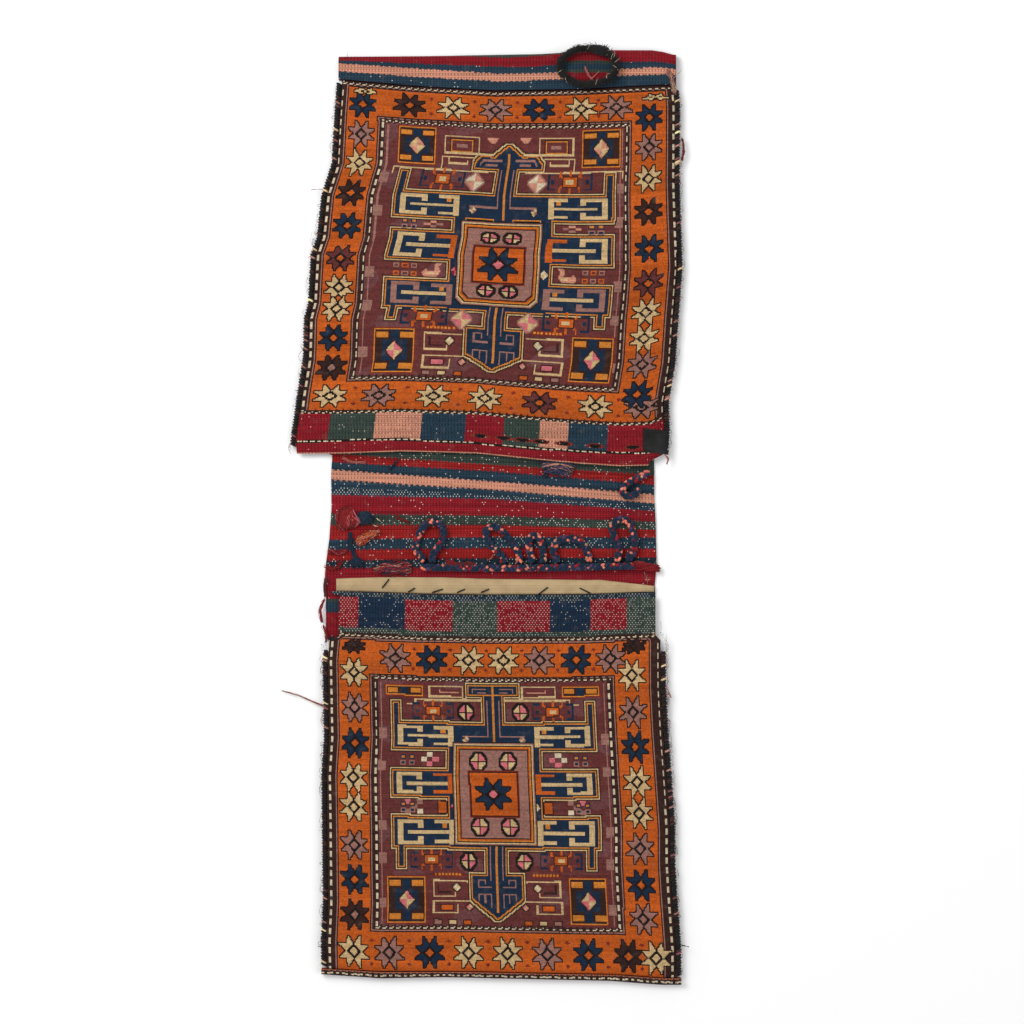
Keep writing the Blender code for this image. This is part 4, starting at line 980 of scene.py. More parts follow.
    def weave(self) -> bpy.types.Object:
        """Builds the sheet and gives every stitch its dye.

        Returns:
            The piece.
        """
        piece = grid_piece(self.name, self.columns, self.rows)
        mesh = piece.data
        places = read_vectors(mesh.vertices, "co") + 0.5
        centres = read_vectors(mesh.polygons, "center") + 0.5
        dye, plain = self.draw(centres[:, 0], centres[:, 1])
        x, y = self.panel.place(places[:, 0], places[:, 1])
        edge = np.minimum(np.minimum(places[:, 0], 1 - places[:, 0]) * PLAN.pocket_width,
                          np.minimum(places[:, 1], 1 - places[:, 1]) * (self.panel.high - self.panel.low))
        z = PLAN.face_top + 0.0006 + ripple(x, y, 3 + self.upper, 0.21, 0.0011)
        z += ripple(x, y, 13 + self.upper, 0.05, 0.0003)
        z -= 0.0022 * np.exp(-((edge / 0.0045) ** 2))
        z += self.relief(dye, plain)
        write_vectors(mesh.vertices, np.stack([x, y, z], 1))
        close_below(piece, PLAN.face_low)
        self.finish(piece, dye, plain, centres)
        return piece

    def relief(self, dye: np.ndarray, plain: np.ndarray) -> np.ndarray:
        """How far each grid point stands proud: outlines lie a little deeper than the fields.

        Args:
            dye: each stitch's dye.
            plain: which stitches are plainly woven.

        Returns:
            A height in metres for each grid point.
        """
        depth = np.zeros(len(DYES))
        depth[[DYES.index(d) for d in (Dye.DARK, Dye.BROWN, Dye.RUST)]] = OUTLINE_LEVEL
        depth[DYES.index(Dye.WHITE)] = DASH_LEVEL
        cell = depth[dye].reshape(self.rows, self.columns)
        cell += np.where(plain.reshape(self.rows, self.columns), PLAIN_LEVEL, 0)
        grid = np.zeros((self.rows + 1, self.columns + 1))
        count = np.zeros_like(grid)
        for i in (0, 1):
            for j in (0, 1):
                grid[i:i + self.rows, j:j + self.columns] += cell
                count[i:i + self.rows, j:j + self.columns] += 1
        return (grid / count).ravel()

    def finish(self, piece: bpy.types.Object, dye: np.ndarray, plain: np.ndarray,
               centres: np.ndarray) -> None:
        """Writes the yarn colours, the weave masks and the thread coordinates, and smooths the sheet.

        Args:
            piece: the sheet.
            dye: each stitch's dye.
            plain: which stitches are plainly woven.
            centres: each face's middle, as shares of the sheet.
        """
        mesh = piece.data
        count = self.rows * self.columns
        colour = np.tile(DYE_TABLE[DYES.index(Dye.BROWN)], (len(mesh.polygons), 1))
        draw = np.random.default_rng(21 + self.upper)
        tone = 1 + 0.11 * np.clip(draw.standard_normal(count), -2.5, 2.5)
        row_tone = 1 + 0.06 * np.repeat(draw.standard_normal(self.rows), self.columns)
        up = centres[:count, 1]
        streaks = 1 + 0.13 * np.sin(up * 61) * np.sin(up * 23 + 1)
        row_tone *= np.where(dye == DYES.index(Dye.ORANGE), streaks, 1)
        colour[:count] = DYE_TABLE[dye] * (tone * row_tone)[:, None]
        bare = 0.05 if self.upper else np.where(dye == DYES.index(Dye.NAVY), 0.20, 0.80)
        masks = np.zeros((len(mesh.polygons), 3))
        masks[:count] = np.stack([plain, plain * bare, plain * 0.30], 1)
        write_corner_colour(mesh, "yarn", colour)
        write_corner_colour(mesh, "weave", masks)
        finish_sheet(mesh)


def deselect() -> None:
    """Leaves nothing selected or active, so that an operator reaches only what is made next."""
    bpy.ops.object.select_all(action="DESELECT")
    bpy.context.view_layer.objects.active = None


def only(piece: bpy.types.Object) -> None:
    """Selects this piece alone.

    Args:
        piece: the object.
    """
    deselect()
    piece.select_set(True)
    bpy.context.view_layer.objects.active = piece


def read_vectors(items: bpy.types.bpy_prop_collection, key: str) -> np.ndarray:
    """All vectors of one kind, as rows.

    Args:
        items: a mesh's vertices or polygons.
        key: which of their vectors.

    Returns:
        One row for each item.
    """
    flat = np.empty(3 * len(items), np.float32)
    items.foreach_get(key, flat)
    return flat.reshape(-1, 3).astype(np.float64)


def write_vectors(items: bpy.types.bpy_prop_collection, places: np.ndarray) -> None:
    """Moves the vertices."""
    items.foreach_set("co", places.astype(np.float32).ravel())


def grid_piece(name: str, columns: int, rows: int) -> bpy.types.Object:
    """A unit grid about the origin, whose faces run in rows.

    Args:
        name: the piece's name.
        columns, rows: how many faces it has each way.

    Returns:
        The grid.
    """
    deselect()
    bpy.ops.mesh.primitive_grid_add(x_subdivisions=columns, y_subdivisions=rows, size=1, location=(0, 0, 0))
    piece = bpy.context.active_object
    piece.name = piece.data.name = name
    return piece


def close_below(piece: bpy.types.Object, level: float) -> None:
    """Extrudes a sheet's border down to a level and closes it there.

    Args:
        piece: the sheet.
        level: height of its flat underside.
    """
    only(piece)
    count = len(piece.data.vertices)
    bpy.ops.object.mode_set(mode="EDIT")
    bpy.ops.mesh.select_mode(type="EDGE")
    bpy.ops.mesh.select_all(action="DESELECT")
    bpy.ops.mesh.select_non_manifold()
    bpy.ops.mesh.extrude_region_move(TRANSFORM_OT_translate={"value": (0, 0, -0.001)})
    bpy.ops.mesh.edge_face_add()
    bpy.ops.object.mode_set(mode="OBJECT")
    places = read_vectors(piece.data.vertices, "co")
    places[count:, 2] = level
    write_vectors(piece.data.vertices, places)
    bpy.ops.object.mode_set(mode="EDIT")
    bpy.ops.mesh.select_all(action="SELECT")
    bpy.ops.mesh.normals_make_consistent(inside=False)
    bpy.ops.object.mode_set(mode="OBJECT")


def write_corner_colour(mesh: bpy.types.Mesh, name: str, faces: np.ndarray) -> None:
    """Gives each face one colour, on its corners.

    Args:
        mesh: what is coloured.
        name: the colour layer's name.
        faces: a linear colour for each face.
    """
    totals = np.empty(len(mesh.polygons), np.int32)
    mesh.polygons.foreach_get("loop_total", totals)
    rgba = np.ones((len(faces), 4), np.float32)
    rgba[:, :3] = np.clip(faces, 0, 1)
    layer = mesh.color_attributes.new(name, "FLOAT_COLOR", "CORNER")
    layer.data.foreach_set("color", np.repeat(rgba, totals, axis=0).ravel())


def finish_sheet(mesh: bpy.types.Mesh) -> None:
    """Adds a UV map in millimetres on the page, which the weaves follow, and smooths the sheet.

    Args:
        mesh: the sheet's mesh.
    """
    layer = mesh.uv_layers.new(name="threads")
    index = np.empty(len(mesh.loops), np.int32)
    mesh.loops.foreach_get("vertex_index", index)
    places = read_vectors(mesh.vertices, "co")
    layer.data.foreach_set("uv", (places[index, :2] * 1000).astype(np.float32).ravel())
    mesh.shade_smooth()


def run_length(path: np.ndarray) -> np.ndarray:
    """How far along a line each of its points lies."""
    return np.concatenate([[0], np.cumsum(np.linalg.norm(np.diff(path, axis=0), axis=1))])


def sideways(line: np.ndarray) -> np.ndarray:
    """The level direction across a line, at each of its points.

    Args:
        line: its points.

    Returns:
        A unit vector for each point.
    """
    run = np.gradient(line, axis=0)
    run /= np.linalg.norm(run, axis=1)[:, None]
    return np.stack([run[:, 1], -run[:, 0], np.zeros(len(run))], 1)


def on_bridge(route: Sequence[Point], level: float) -> list[Point]:
    """A route's points in the frame.

    Args:
        route: in millimetres from the upper lip's middle.
        level: their height, in metres.

    Returns:
        The points.
    """
    return [(x / 1000 - MIDDLE[0], PLAN.upper_mouth + y / 1000 - MIDDLE[1], level) for x, y in route]


@dataclass
class Strands:
    """Many thin tubes gathered into one piece: stitches, yarns, hairs.

    Args:
        name: the piece's name.
        sides: how many sides a tube has.
    """

    name: str
    sides: int = 6
    points: list = field(default_factory=list)
    faces: list = field(default_factory=list)
    dyes: list = field(default_factory=list)
    threads: list = field(default_factory=list)

    def add(self, path: np.ndarray, radius: np.ndarray | float, colour: Sequence[float],
            flat: float = 1.0) -> None:
        """Lays one tube along a path.

        Args:
            path: its points, in metres.
            radius: its radius, at each point or all along.
            colour: its linear colour.
            flat: height of its section against its width.
        """
        path = np.asarray(path, float)
        n, s = len(path), self.sides
        radius = np.broadcast_to(np.asarray(radius, float), (n,))
        run = np.gradient(path, axis=0)
        run /= np.linalg.norm(run, axis=1)[:, None] + 1e-12
        up = np.array([0.0, 0.0, 1.0]) if abs(run[0][2]) < 0.9 else np.array([1.0, 0.0, 0.0])
        base = sum(len(p) for p in self.points)
        turns = 2 * math.pi * np.arange(s) / s
        far = run_length(path) * 1000
        rings = []
        for i in range(n):
            side = np.cross(up, run[i])
            size = np.linalg.norm(side)
            side = side / size if size > 1e-6 else np.array([1.0, 0, 0])
            up = np.cross(run[i], side)
            rings.append(path[i] + radius[i] * (np.cos(turns)[:, None] * side +
                                                flat * np.sin(turns)[:, None] * up))
        self.points.append(np.concatenate(rings))
        for i in range(n - 1):
            for k in range(s):
                a, b = base + i * s + k, base + i * s + (k + 1) % s
                self.faces.append((a, b, b + s, a + s))
                v0, v1 = far[i], far[i + 1]
                u0, u1 = k / s, (k + 1) / s
                self.threads += [(u0, v0), (u1, v0), (u1, v1), (u0, v1)]
        self.faces.append(tuple(base + k for k in range(s))[::-1])
        self.faces.append(tuple(base + (n - 1) * s + k for k in range(s)))
        self.threads += [(0.5, far[0])] * s + [(0.5, far[-1])] * s
        self.dyes.append(np.tile(np.asarray(colour, float), ((n - 1) * s + 2, 1)))

    def make(self) -> bpy.types.Object:
        """Builds the piece.

        Returns:
            The object, with its colours and thread coordinates written.
        """
        mesh = bpy.data.meshes.new(self.name)
        mesh.from_pydata(np.concatenate(self.points).tolist(), [], self.faces)
        piece = bpy.data.objects.new(self.name, mesh)
        bpy.context.scene.collection.objects.link(piece)
        write_corner_colour(mesh, "yarn", np.concatenate(self.dyes))
        layer = mesh.uv_layers.new(name="threads")
        layer.data.foreach_set("uv", np.asarray(self.threads, np.float32).ravel())
        mesh.shade_smooth()
        return piece


def smooth_line(points: Sequence[Point], step: float) -> np.ndarray:
    """Evenly spaced points on a smooth curve through the given ones.

    Args:
        points: what the curve runs through.
        step: about how far apart they lie.

    Returns:
        The points, as rows.
    """
    given = [Vector(p) for p in points]
    given = [2 * given[0] - given[1]] + given + [2 * given[-1] - given[-2]]
    fine = []
    for a, b, c, d in zip(given, given[1:], given[2:], given[3:]):
        for i in range(16):
            t = i / 16
            fine.append(0.5 * (2 * b + (c - a) * t + (2 * a - 5 * b + 4 * c - d) * t * t +
                               (3 * b - a - 3 * c + d) * t ** 3))
    fine.append(given[-2])
    far = np.concatenate([[0], np.cumsum([(b - a).length for a, b in zip(fine, fine[1:])])])
    count = max(2, round(far[-1] / step))
    wanted = np.linspace(0, far[-1], count + 1)
    return np.stack([np.interp(wanted, far, [p[k] for p in fine]) for k in range(3)], 1)


@dataclass(frozen=True)
class Stripe:
    """One stripe of the bridge: its dye and the share of the bridge at which it ends, left to right."""

    dye: Dye
    ends: tuple[float, float, float]
    bare: float = 0.05


BRIDGE_STRIPES = (
    Stripe(Dye.MOSS, (-0.014, 0.068, 0.137), 0.16), Stripe(Dye.SCARLET, (0.047, 0.112, 0.209), 0.10),
    Stripe(Dye.BLUE, (0.101, 0.187, 0.278), 0.06), Stripe(Dye.SALMON, (0.173, 0.245, 0.345), 0.0),
    Stripe(Dye.BLUE, (0.230, 0.284, 0.372), 0.08), Stripe(Dye.BLUE, (0.281, 0.313, 0.400), 0.80),
    Stripe(Dye.RED, (0.417, 0.432, 0.475), 0.06), Stripe(Dye.MOSS, (0.497, 0.497, 0.533), 0.45),
    Stripe(Dye.SCARLET, (0.604, 0.583, 0.587), 0.04), Stripe(Dye.BLUE, (0.676, 0.662, 0.669), 0.40),
    Stripe(Dye.SCARLET, (0.756, 0.734, 0.731), 0.04), Stripe(Dye.INK, (0.806, 0.799, 0.777), 0.30),
    Stripe(Dye.RED, (1.03, 1.0, 0.945), 0.02), Stripe(Dye.MOSS, (1.05, 1.05, 1.05), 0.1),
    Stripe(Dye.BLUE, (1.123, 1.123, 1.123), 0.02), Stripe(Dye.RED, (1.30, 1.30, 1.30), 0.02),
    Stripe(Dye.BLUE, (1.335, 1.335, 1.335), 0.02),
)
POCKET_DYES = (Dye.RED, Dye.BLUE, Dye.SALMON, Dye.BLUE, Dye.RED, Dye.MOSS)


@dataclass
class StripedBack:
    """The kilim behind both pockets, which is bare between them as the bridge.

    Args:
        name: the piece's name.
        columns: how many cells it has across.
        stripe: height of a stripe behind the pockets, in metres.
        row: height of a cell on the bridge, in metres.
        bow_reach: how far in from an end its bow is felt, in metres.
        swell_reach: how far from the bridge's middle it lies raised, in metres.
    """

    name: str = "striped_kilim"
    columns: int = 114
    stripe: float = 0.030
    row: float = 0.0015
    bow_reach: float = 0.080
    swell_reach: float = 0.085

    def bands(self) -> list[tuple[Dye, np.ndarray, np.ndarray, int, float]]:
        """Every stripe from the top end down: dye, upper and lower ends at three places, rows, bare share.

        Returns:
            The stripes, from the top end down.
        """
        top = PLAN.top_end - PLAN.top_fold - PLAN.split_gap
        bottom = -PLAN.top_end + PLAN.bottom_fold + PLAN.split_gap
        found, high = [], np.full(3, top)
        start = PLAN.upper_mouth + 0.006
        count = round((top - start) / self.stripe)
        for i in range(count):
            low = np.full(3, top + (start - top) * (i + 1) / count)
            found.append((POCKET_DYES[i % 6], high, low, 5, 0.05))
            high = low
        for stripe in BRIDGE_STRIPES:
            low = np.array([PLAN.upper_mouth - PLAN.bridge * e for e in stripe.ends])
            rows = max(2, round(float(np.mean(high - low)) / self.row))
            found.append((stripe.dye, high, low, rows, stripe.bare))
            high = low
        count = round((float(high[0]) - bottom) / self.stripe)
        start = high
        for i in range(count):
            low = start + (bottom - start) * (i + 1) / count
            found.append((POCKET_DYES[i % 6], high, low, 5, 0.05))
            high = low
        return found

    def edges(self, y: np.ndarray) -> tuple[np.ndarray, np.ndarray]:
        """The kilim's own side edges: inside the seams along the pockets, at the selvedge on the bridge.

        Args:
            y: places along the bag, before it is centred.

        Returns:
            The x of the left and the right edge at each place.
        """
        step = 0.012
        left, right = PLAN.side_edges(y)
        inset = PLAN.seam + PLAN.clearance
        inner_left, inner_right = left + inset, right - inset
        high_left, high_right = PLAN.side_edges(np.full_like(y, PLAN.upper_mouth - 1e-6))
        low_left, _ = PLAN.side_edges(np.full_like(y, PLAN.lower_mouth + 1e-6))
        share = np.clip((y - PLAN.upper_mouth) / step, 0, 1)
        where = (y > PLAN.upper_mouth, y >= PLAN.lower_mouth, y > PLAN.lower_mouth - PLAN.lower_band)
        on_left = (high_left + (inner_left - high_left) * share, left, low_left)
        on_right = (high_right + (inner_right - high_right) * share, right, inner_right)
        return np.select(where, on_left, inner_left), np.select(where, on_right, inner_right)

    def weave(self) -> bpy.types.Object:
        """Builds the kilim with both of its sides.

        Returns:
            The piece.
        """
        bands = self.bands()
        levels = [(b, i / b[3]) for b in bands for i in range(b[3])] + [(bands[-1], 1.0)]
        rows = len(levels) - 1
        piece = grid_piece(self.name, self.columns, rows)
        mesh = piece.data
        share = np.linspace(0, 1, self.columns + 1)
        y = np.stack([np.interp(share, (0, 0.5, 1), band[1] + (band[2] - band[1]) * part)
                      for band, part in levels[::-1]])
        left, right = self.edges(y)
        x = left + (right - left) * share
        top = PLAN.top_end - PLAN.top_fold - PLAN.split_gap
        bottom = -PLAN.top_end + PLAN.bottom_fold + PLAN.split_gap
        y = y + PLAN.bow(PLAN.top_split, x) * np.clip(1 - (top - y) / self.bow_reach, 0, 1)
        y = y + PLAN.bow(PLAN.bottom_split, x) * np.clip(1 - (y - bottom) / self.bow_reach, 0, 1)
        x, y = x - MIDDLE[0], y - MIDDLE[1]
        from_middle = np.abs(y + MIDDLE[1] - (PLAN.upper_mouth + PLAN.lower_mouth) / 2)
        swell = np.clip(np.clip(1 - from_middle / self.swell_reach, 0, 1) * 4, 0, 1)
        z = PLAN.kilim + 0.0004 + swell * (0.0006 + ripple(x, y, 5, 0.16, 0.0009))
        edge = np.minimum(x - x.min(axis=1, keepdims=True), x.max(axis=1, keepdims=True) - x)
        z -= 0.0010 * np.exp(-((edge / 0.004) ** 2))
        places = np.stack([x.ravel(), y.ravel(), z.ravel()], 1)
        write_vectors(mesh.vertices, places)
        dyes = np.array([band[0].value for band, _ in levels[:-1]][::-1])
        row = np.arange(rows)[:, None] + (np.arange(self.columns) % 2)[None, :]
        colour = dyes[np.minimum(row, rows - 1)].reshape(-1, 3)
        bare = np.repeat([band[4] for band, _ in levels[:-1]][::-1], self.columns)
        draw = np.random.default_rng(8)
        tone = 1 + 0.10 * np.repeat(draw.standard_normal(rows), self.columns).reshape(rows, self.columns)
        for _ in range(rows * 3):
            at, start = int(draw.integers(rows)), int(draw.integers(self.columns))
            tone[at, start:start + int(draw.integers(4, 30))] *= draw.uniform(0.72, 1.22)
        write_corner_colour(mesh, "yarn", colour * tone.reshape(-1, 1))
        write_corner_colour(mesh, "weave", np.stack([np.ones_like(bare), bare, np.zeros_like(bare)], 1))
        finish_sheet(mesh)
        thicken(piece, PLAN.kilim - 0.0002)
        return piece


def thicken(piece: bpy.types.Object, thick: float) -> None:
    """Gives a sheet its thickness, inwards from the face that shows.

    Args:
        piece: the sheet.
        thick: how thick it becomes, in metres.
    """
    only(piece)
    wall = piece.modifiers.new("wall", "SOLIDIFY")
    wall.thickness, wall.offset = thick, -1
    wall.use_even_offset = False
    bpy.ops.object.modifier_apply(modifier=wall.name)


@dataclass
class EndFold:
    """The kilim's turn at a pocket's closed end, from the front round to the back.

    Args:
        name: the piece's name.
        node: the node that it stands for.
        upper: whether it is the upper pocket's.
        stripes: their dyes, each with its end at the left, the middle and the right.
        columns, rows: how many cells it has.
        corner: the upper end's edge, with its turned-up corner.
        dash_pitch: from dash to dash on the lower end, in metres.
    """

    name: str
    node: str
    upper: bool
    stripes: tuple[tuple[Dye, tuple[float, float, float]], ...]
    columns: int = 122
    rows: int = 92
    corner: Profile = ((0, -5), (0.05, -1), (0.33, 0), (0.65, 2.7), (0.83, 8), (0.97, 8), (1.0, 6), (1.03, 2))
    dash_pitch: float = 0.0102

    def weave(self) -> bpy.types.Object:
        """Builds the folded sheet.

        Returns:
            The piece.
        """
        way = 1 if self.upper else -1
        edge, edge_bow = PLAN.top_end * way, self.corner if self.upper else PLAN.bottom_edge
        fold = PLAN.top_fold if self.upper else PLAN.bottom_fold
        split, split_bow = edge - way * fold, PLAN.top_split if self.upper else PLAN.bottom_split
        piece = grid_piece(self.name, self.columns, self.rows)
        places = read_vectors(piece.data.vertices, "co") + 0.5
        centres = read_vectors(piece.data.polygons, "center") + 0.5
        outer = PLAN.face_top / 2
        left, right = PLAN.side_edges(np.full(len(places), edge - way * outer))
        x = left + (right - left) * places[:, 0]
        tip = edge + PLAN.bow(edge_bow, x)
        start = split + PLAN.bow(split_bow, x)
        flat = np.abs(tip - start) - outer
        turn = math.pi * outer
        run = places[:, 1] * (flat * 2 + turn)
        front, nose = run < flat, run < flat + turn
        angle = np.clip((run - flat) / outer, 0, math.pi)
        y = np.where(front, start + way * run, np.where(nose, start + way * (flat + outer * np.sin(angle)),
                                                        start + way * (2 * flat + turn - run)))
        z = np.where(front, 2 * outer, np.where(nose, outer + outer * np.cos(angle), 0.0))
        if self.upper:
            middle_x, middle_y = ring_middle()
            near = np.hypot((x - middle_x) / 0.036, (y - middle_y) / 0.024)
            z += 0.0034 * np.clip(1 - near ** 2, 0, 1) * (z > outer)
        x, y = x - MIDDLE[0], y - MIDDLE[1]
        z += np.where(z > outer, ripple(x, y, 31, 0.09, 0.0005), 0)
        write_vectors(piece.data.vertices, np.stack([x, y, z], 1))
        tooth = np.arange(len(centres)) % self.columns % 2 / self.rows
        share = (centres[:, 1] + tooth) * 2.35
        dye = np.full(len(centres), DYES.index(Dye.RED))
        for colour, ends in self.stripes[::-1]:
            dye[share < np.interp(centres[:, 0], (0, 0.5, 1), ends)] = DYES.index(colour)
        if self.upper:
            page_x, page_y = read_vectors(piece.data.polygons, "center")[:, :2].T
            across, up = (page_x - middle_x + MIDDLE[0]) / 0.034, (page_y - middle_y + MIDDLE[1]) / 0.021
            for low, high, yarn in ((-1.2, -0.35, Dye.RED), (-0.35, -0.15, Dye.MOSS), (-0.15, 0.2, Dye.BLUE),
                                    (0.2, 0.42, Dye.MOSS), (0.42, 1.2, Dye.RED)):
                near = (np.hypot(across, up) < 1) & (up >= low) & (up < high) & (centres[:, 1] < 0.55)
                dye[near] = DYES.index(yarn)
        else:
            dashed = (share > 0.40) & (share < 0.66) & ((places_x(piece) / self.dash_pitch) % 1.0 < 0.66)
            dye[dashed] = DYES.index(Dye.WHITE)
        draw = np.random.default_rng(40 + self.upper)
        tone = np.repeat(1 + 0.05 * draw.standard_normal(self.rows), self.columns)
        write_corner_colour(piece.data, "yarn", DYE_TABLE[dye] * tone[:, None])
        bare = np.where(dye == DYES.index(Dye.BLUE), 0.03, 0.0)
        write_corner_colour(piece.data, "weave", np.stack([np.ones_like(bare), bare, 0 * bare], 1))
        finish_sheet(piece.data)
        if not self.upper:
            only(piece)
            bpy.ops.object.mode_set(mode="EDIT")
            bpy.ops.mesh.select_all(action="SELECT")
            bpy.ops.mesh.flip_normals()
            bpy.ops.object.mode_set(mode="OBJECT")
        thicken(piece, 0.0024)
        return piece


def places_x(piece: bpy.types.Object) -> np.ndarray:
    """The x of each face's middle."""
    return read_vectors(piece.data.polygons, "center")[:, 0]


def ring_middle() -> tuple[float, float]:
    """The middle of the goat hair ring, before the bag is centred."""
    _, right = PLAN.side_edges(np.array([PLAN.top_end]))
    return float(right[0]) - 0.118, PLAN.top_end - 0.016


@dataclass
class SideSeam:
    """Goat hair oversewn round the edges of face and back.

    Args:
        name: the piece's name.
        node: the node that it stands for.
        upper, right: which pocket's and which side's seam it is.
        pitch: from stitch to stitch, in metres.
        coloured: the share of stitches in other yarns.
        dyes: the yarns to pick from.
    """

    name: str
    node: str
    upper: bool
    right: bool
    pitch: float = 0.0036
    coloured: float = 0.13
    dyes: tuple[Dye, ...] = (Dye.HAIR, Dye.DARK, Dye.HAIR, Dye.BROWN, Dye.HAIR, Dye.DARK)

    def sew(self) -> bpy.types.Object:
        """Builds a core with its overcast stitches.

        Returns:
            The piece.
        """
        if self.upper:
            low, high = PLAN.upper_mouth + 0.012, PLAN.top_end - PLAN.top_fold
            high += float(along(PLAN.top_split, 1 if self.right else 0)) - 2 * PLAN.split_gap
        else:
            low, high = -PLAN.top_end + PLAN.bottom_fold, PLAN.lower_mouth - PLAN.lower_band - 0.012
            low += float(along(PLAN.bottom_split, 1 if self.right else 0)) + 2 * PLAN.split_gap
        draw = np.random.default_rng(50 + 2 * self.upper + self.right)
        made = Strands(self.name, 6)
        half_z, half_x = PLAN.face_top / 2, PLAN.seam / 2
        line = np.arange(low + 0.001, high - 0.001, 0.006)
        left, right = PLAN.side_edges(line)
        middle = right - half_x if self.right else left + half_x
        core = np.stack([middle - MIDDLE[0], line - MIDDLE[1], np.full_like(line, half_z)], 1)
        made.add(core, half_x * 0.78, Dye.DARK.value, 1.5)
        count = int((high - low - 0.004) / self.pitch)
        turns = np.linspace(0, 2 * math.pi, 13)
        for i in range(count):
            y = low + 0.002 + i * self.pitch + draw.normal(0, 0.0004)
            edge_left, edge_right = PLAN.side_edges(np.array([y]))
            x = float(edge_right[0] - half_x if self.right else edge_left[0] + half_x)
            lean = 0.0030 * (1 if self.right else -1)
            ring = np.stack([x - MIDDLE[0] + (half_x - 0.0006) * np.cos(turns),
                             y - MIDDLE[1] + lean * np.cos(turns) / 2 + 0.0003 * np.sin(turns),
                             half_z + (half_z - 0.0006) * np.sin(turns)], 1)
            dye = self.dyes[int(draw.integers(len(self.dyes)))]
            if draw.random() < self.coloured:
                dye = (Dye.MAUVE, Dye.PLUM, Dye.BROWN, Dye.COTTON)[int(draw.integers(4))]
            made.add(ring, draw.uniform(0.0011, 0.0015), np.array(dye.value) * draw.uniform(0.8, 1.9))
        return made.make()


@dataclass
class MouthTape:
    """A cotton tape sewn across the bridge along the lower pocket's mouth."""

    name: str = "cotton_tape"
    wide: float = 0.0215
    shape: Profile = ((0, 780), (0.18, 1000), (0.33, 1060), (0.5, 1000), (0.66, 960), (0.83, 880), (1, 370))
    columns: int = 150
    rows: int = 10

    def weave(self) -> bpy.types.Object:
        """Builds the tape, a little creased.

        Returns:
            The piece.
        """
        piece = grid_piece(self.name, self.columns, self.rows)
        places = read_vectors(piece.data.vertices, "co") + 0.5
        share = 0.033 + 0.965 * places[:, 0]
        left, right = PLAN.side_edges(np.full(len(places), PLAN.lower_mouth + self.wide / 2))
        x = left + (right - left) * share
        low = PLAN.lower_mouth + PLAN.bow(PLAN.lower_lip, x) + PLAN.clearance
        y = low + self.wide * along(self.shape, places[:, 0]) * places[:, 1]
        x, y = x - MIDDLE[0], y - MIDDLE[1]
        crown = 0.0010 * np.sin(math.pi * places[:, 1]) ** 0.5
        z = PLAN.kilim + 0.0016 + crown + ripple(x, y, 61, 0.06, 0.0005)
        write_vectors(piece.data.vertices, np.stack([x, y, z], 1))
        finish_sheet(piece.data)
        thicken(piece, 0.0011)
        return piece

    def stitches(self) -> bpy.types.Object:
        """The black slanting stitches that hold it.

        Returns:
            The piece.
        """
        made = Strands("tape_stitches", 6)
        ends = ((-131.7, -86, -141, -98), (-96.6, -98, -106, -103.5), (-59, -99.5, -73.5, -104),
                (-29, -99.5, -39.8, -104), (3.4, -99.5, -7.4, -104), (83, -97, 69.6, -107),
                (126, -98, 140.5, -105))
        t = np.linspace(0, 1, 7)
        for x0, y0, x1, y1 in ends:
            path = np.stack([x0 + (x1 - x0) * t, y0 + (y1 - y0) * t, 5.6 + np.sin(math.pi * t)], 1)
            made.add(path / 1000, 0.0009, Dye.HAIR.value)
        return made.make()


@dataclass
class CornerPatch:
    """A frayed black cloth patch over the worn last square of the upper closing band."""

    name: str = "black_patch"
    wide: float = 0.034
    long: float = 0.032
    columns: int = 34
    rows: int = 32

    def weave(self) -> bpy.types.Object:
        """Builds the patch.

        Returns:
            The piece.
        """
        _, edge = PLAN.side_edges(np.array([PLAN.upper_mouth + 0.03]))
        x1 = float(edge[0]) - 0.002
        y0 = PLAN.upper_mouth + float(PLAN.bow(PLAN.upper_lip, np.array([x1]))[0]) + PLAN.closing_band * 0.11
        piece = grid_piece(self.name, self.columns, self.rows)
        places = read_vectors(piece.data.vertices, "co") + 0.5
        draw = np.random.default_rng(71)
        frayed = draw.normal(0, 0.0011, self.rows + 1)
        row = np.rint(places[:, 1] * self.rows).astype(int)
        x = x1 - self.wide * (1 - places[:, 0]) + frayed[row] * places[:, 0] ** 3
        y = y0 + 0.004 * (1 - places[:, 0]) + self.long * places[:, 1]
        x, y = x - MIDDLE[0], y - MIDDLE[1]
        rim = np.minimum(np.minimum(places[:, 0], 1 - places[:, 0]),
                         np.minimum(places[:, 1], 1 - places[:, 1]))
        z = PLAN.face_top + 0.0022 - 0.0009 * np.exp(-((rim / 0.05) ** 2)) + ripple(x, y, 73, 0.02, 0.0004)
        write_vectors(piece.data.vertices, np.stack([x, y, z], 1))
        finish_sheet(piece.data)
        thicken(piece, 0.0009)
        return piece


# Flecks in the navy braid: a chance's upper limit, the dye and how strong it is
FLECKS = ((0.13, Dye.CORAL, 1.0), (0.16, Dye.SALMON, 1.0), (0.26, Dye.RED, 1.0), (0.36, Dye.PURPLE, 0.7))


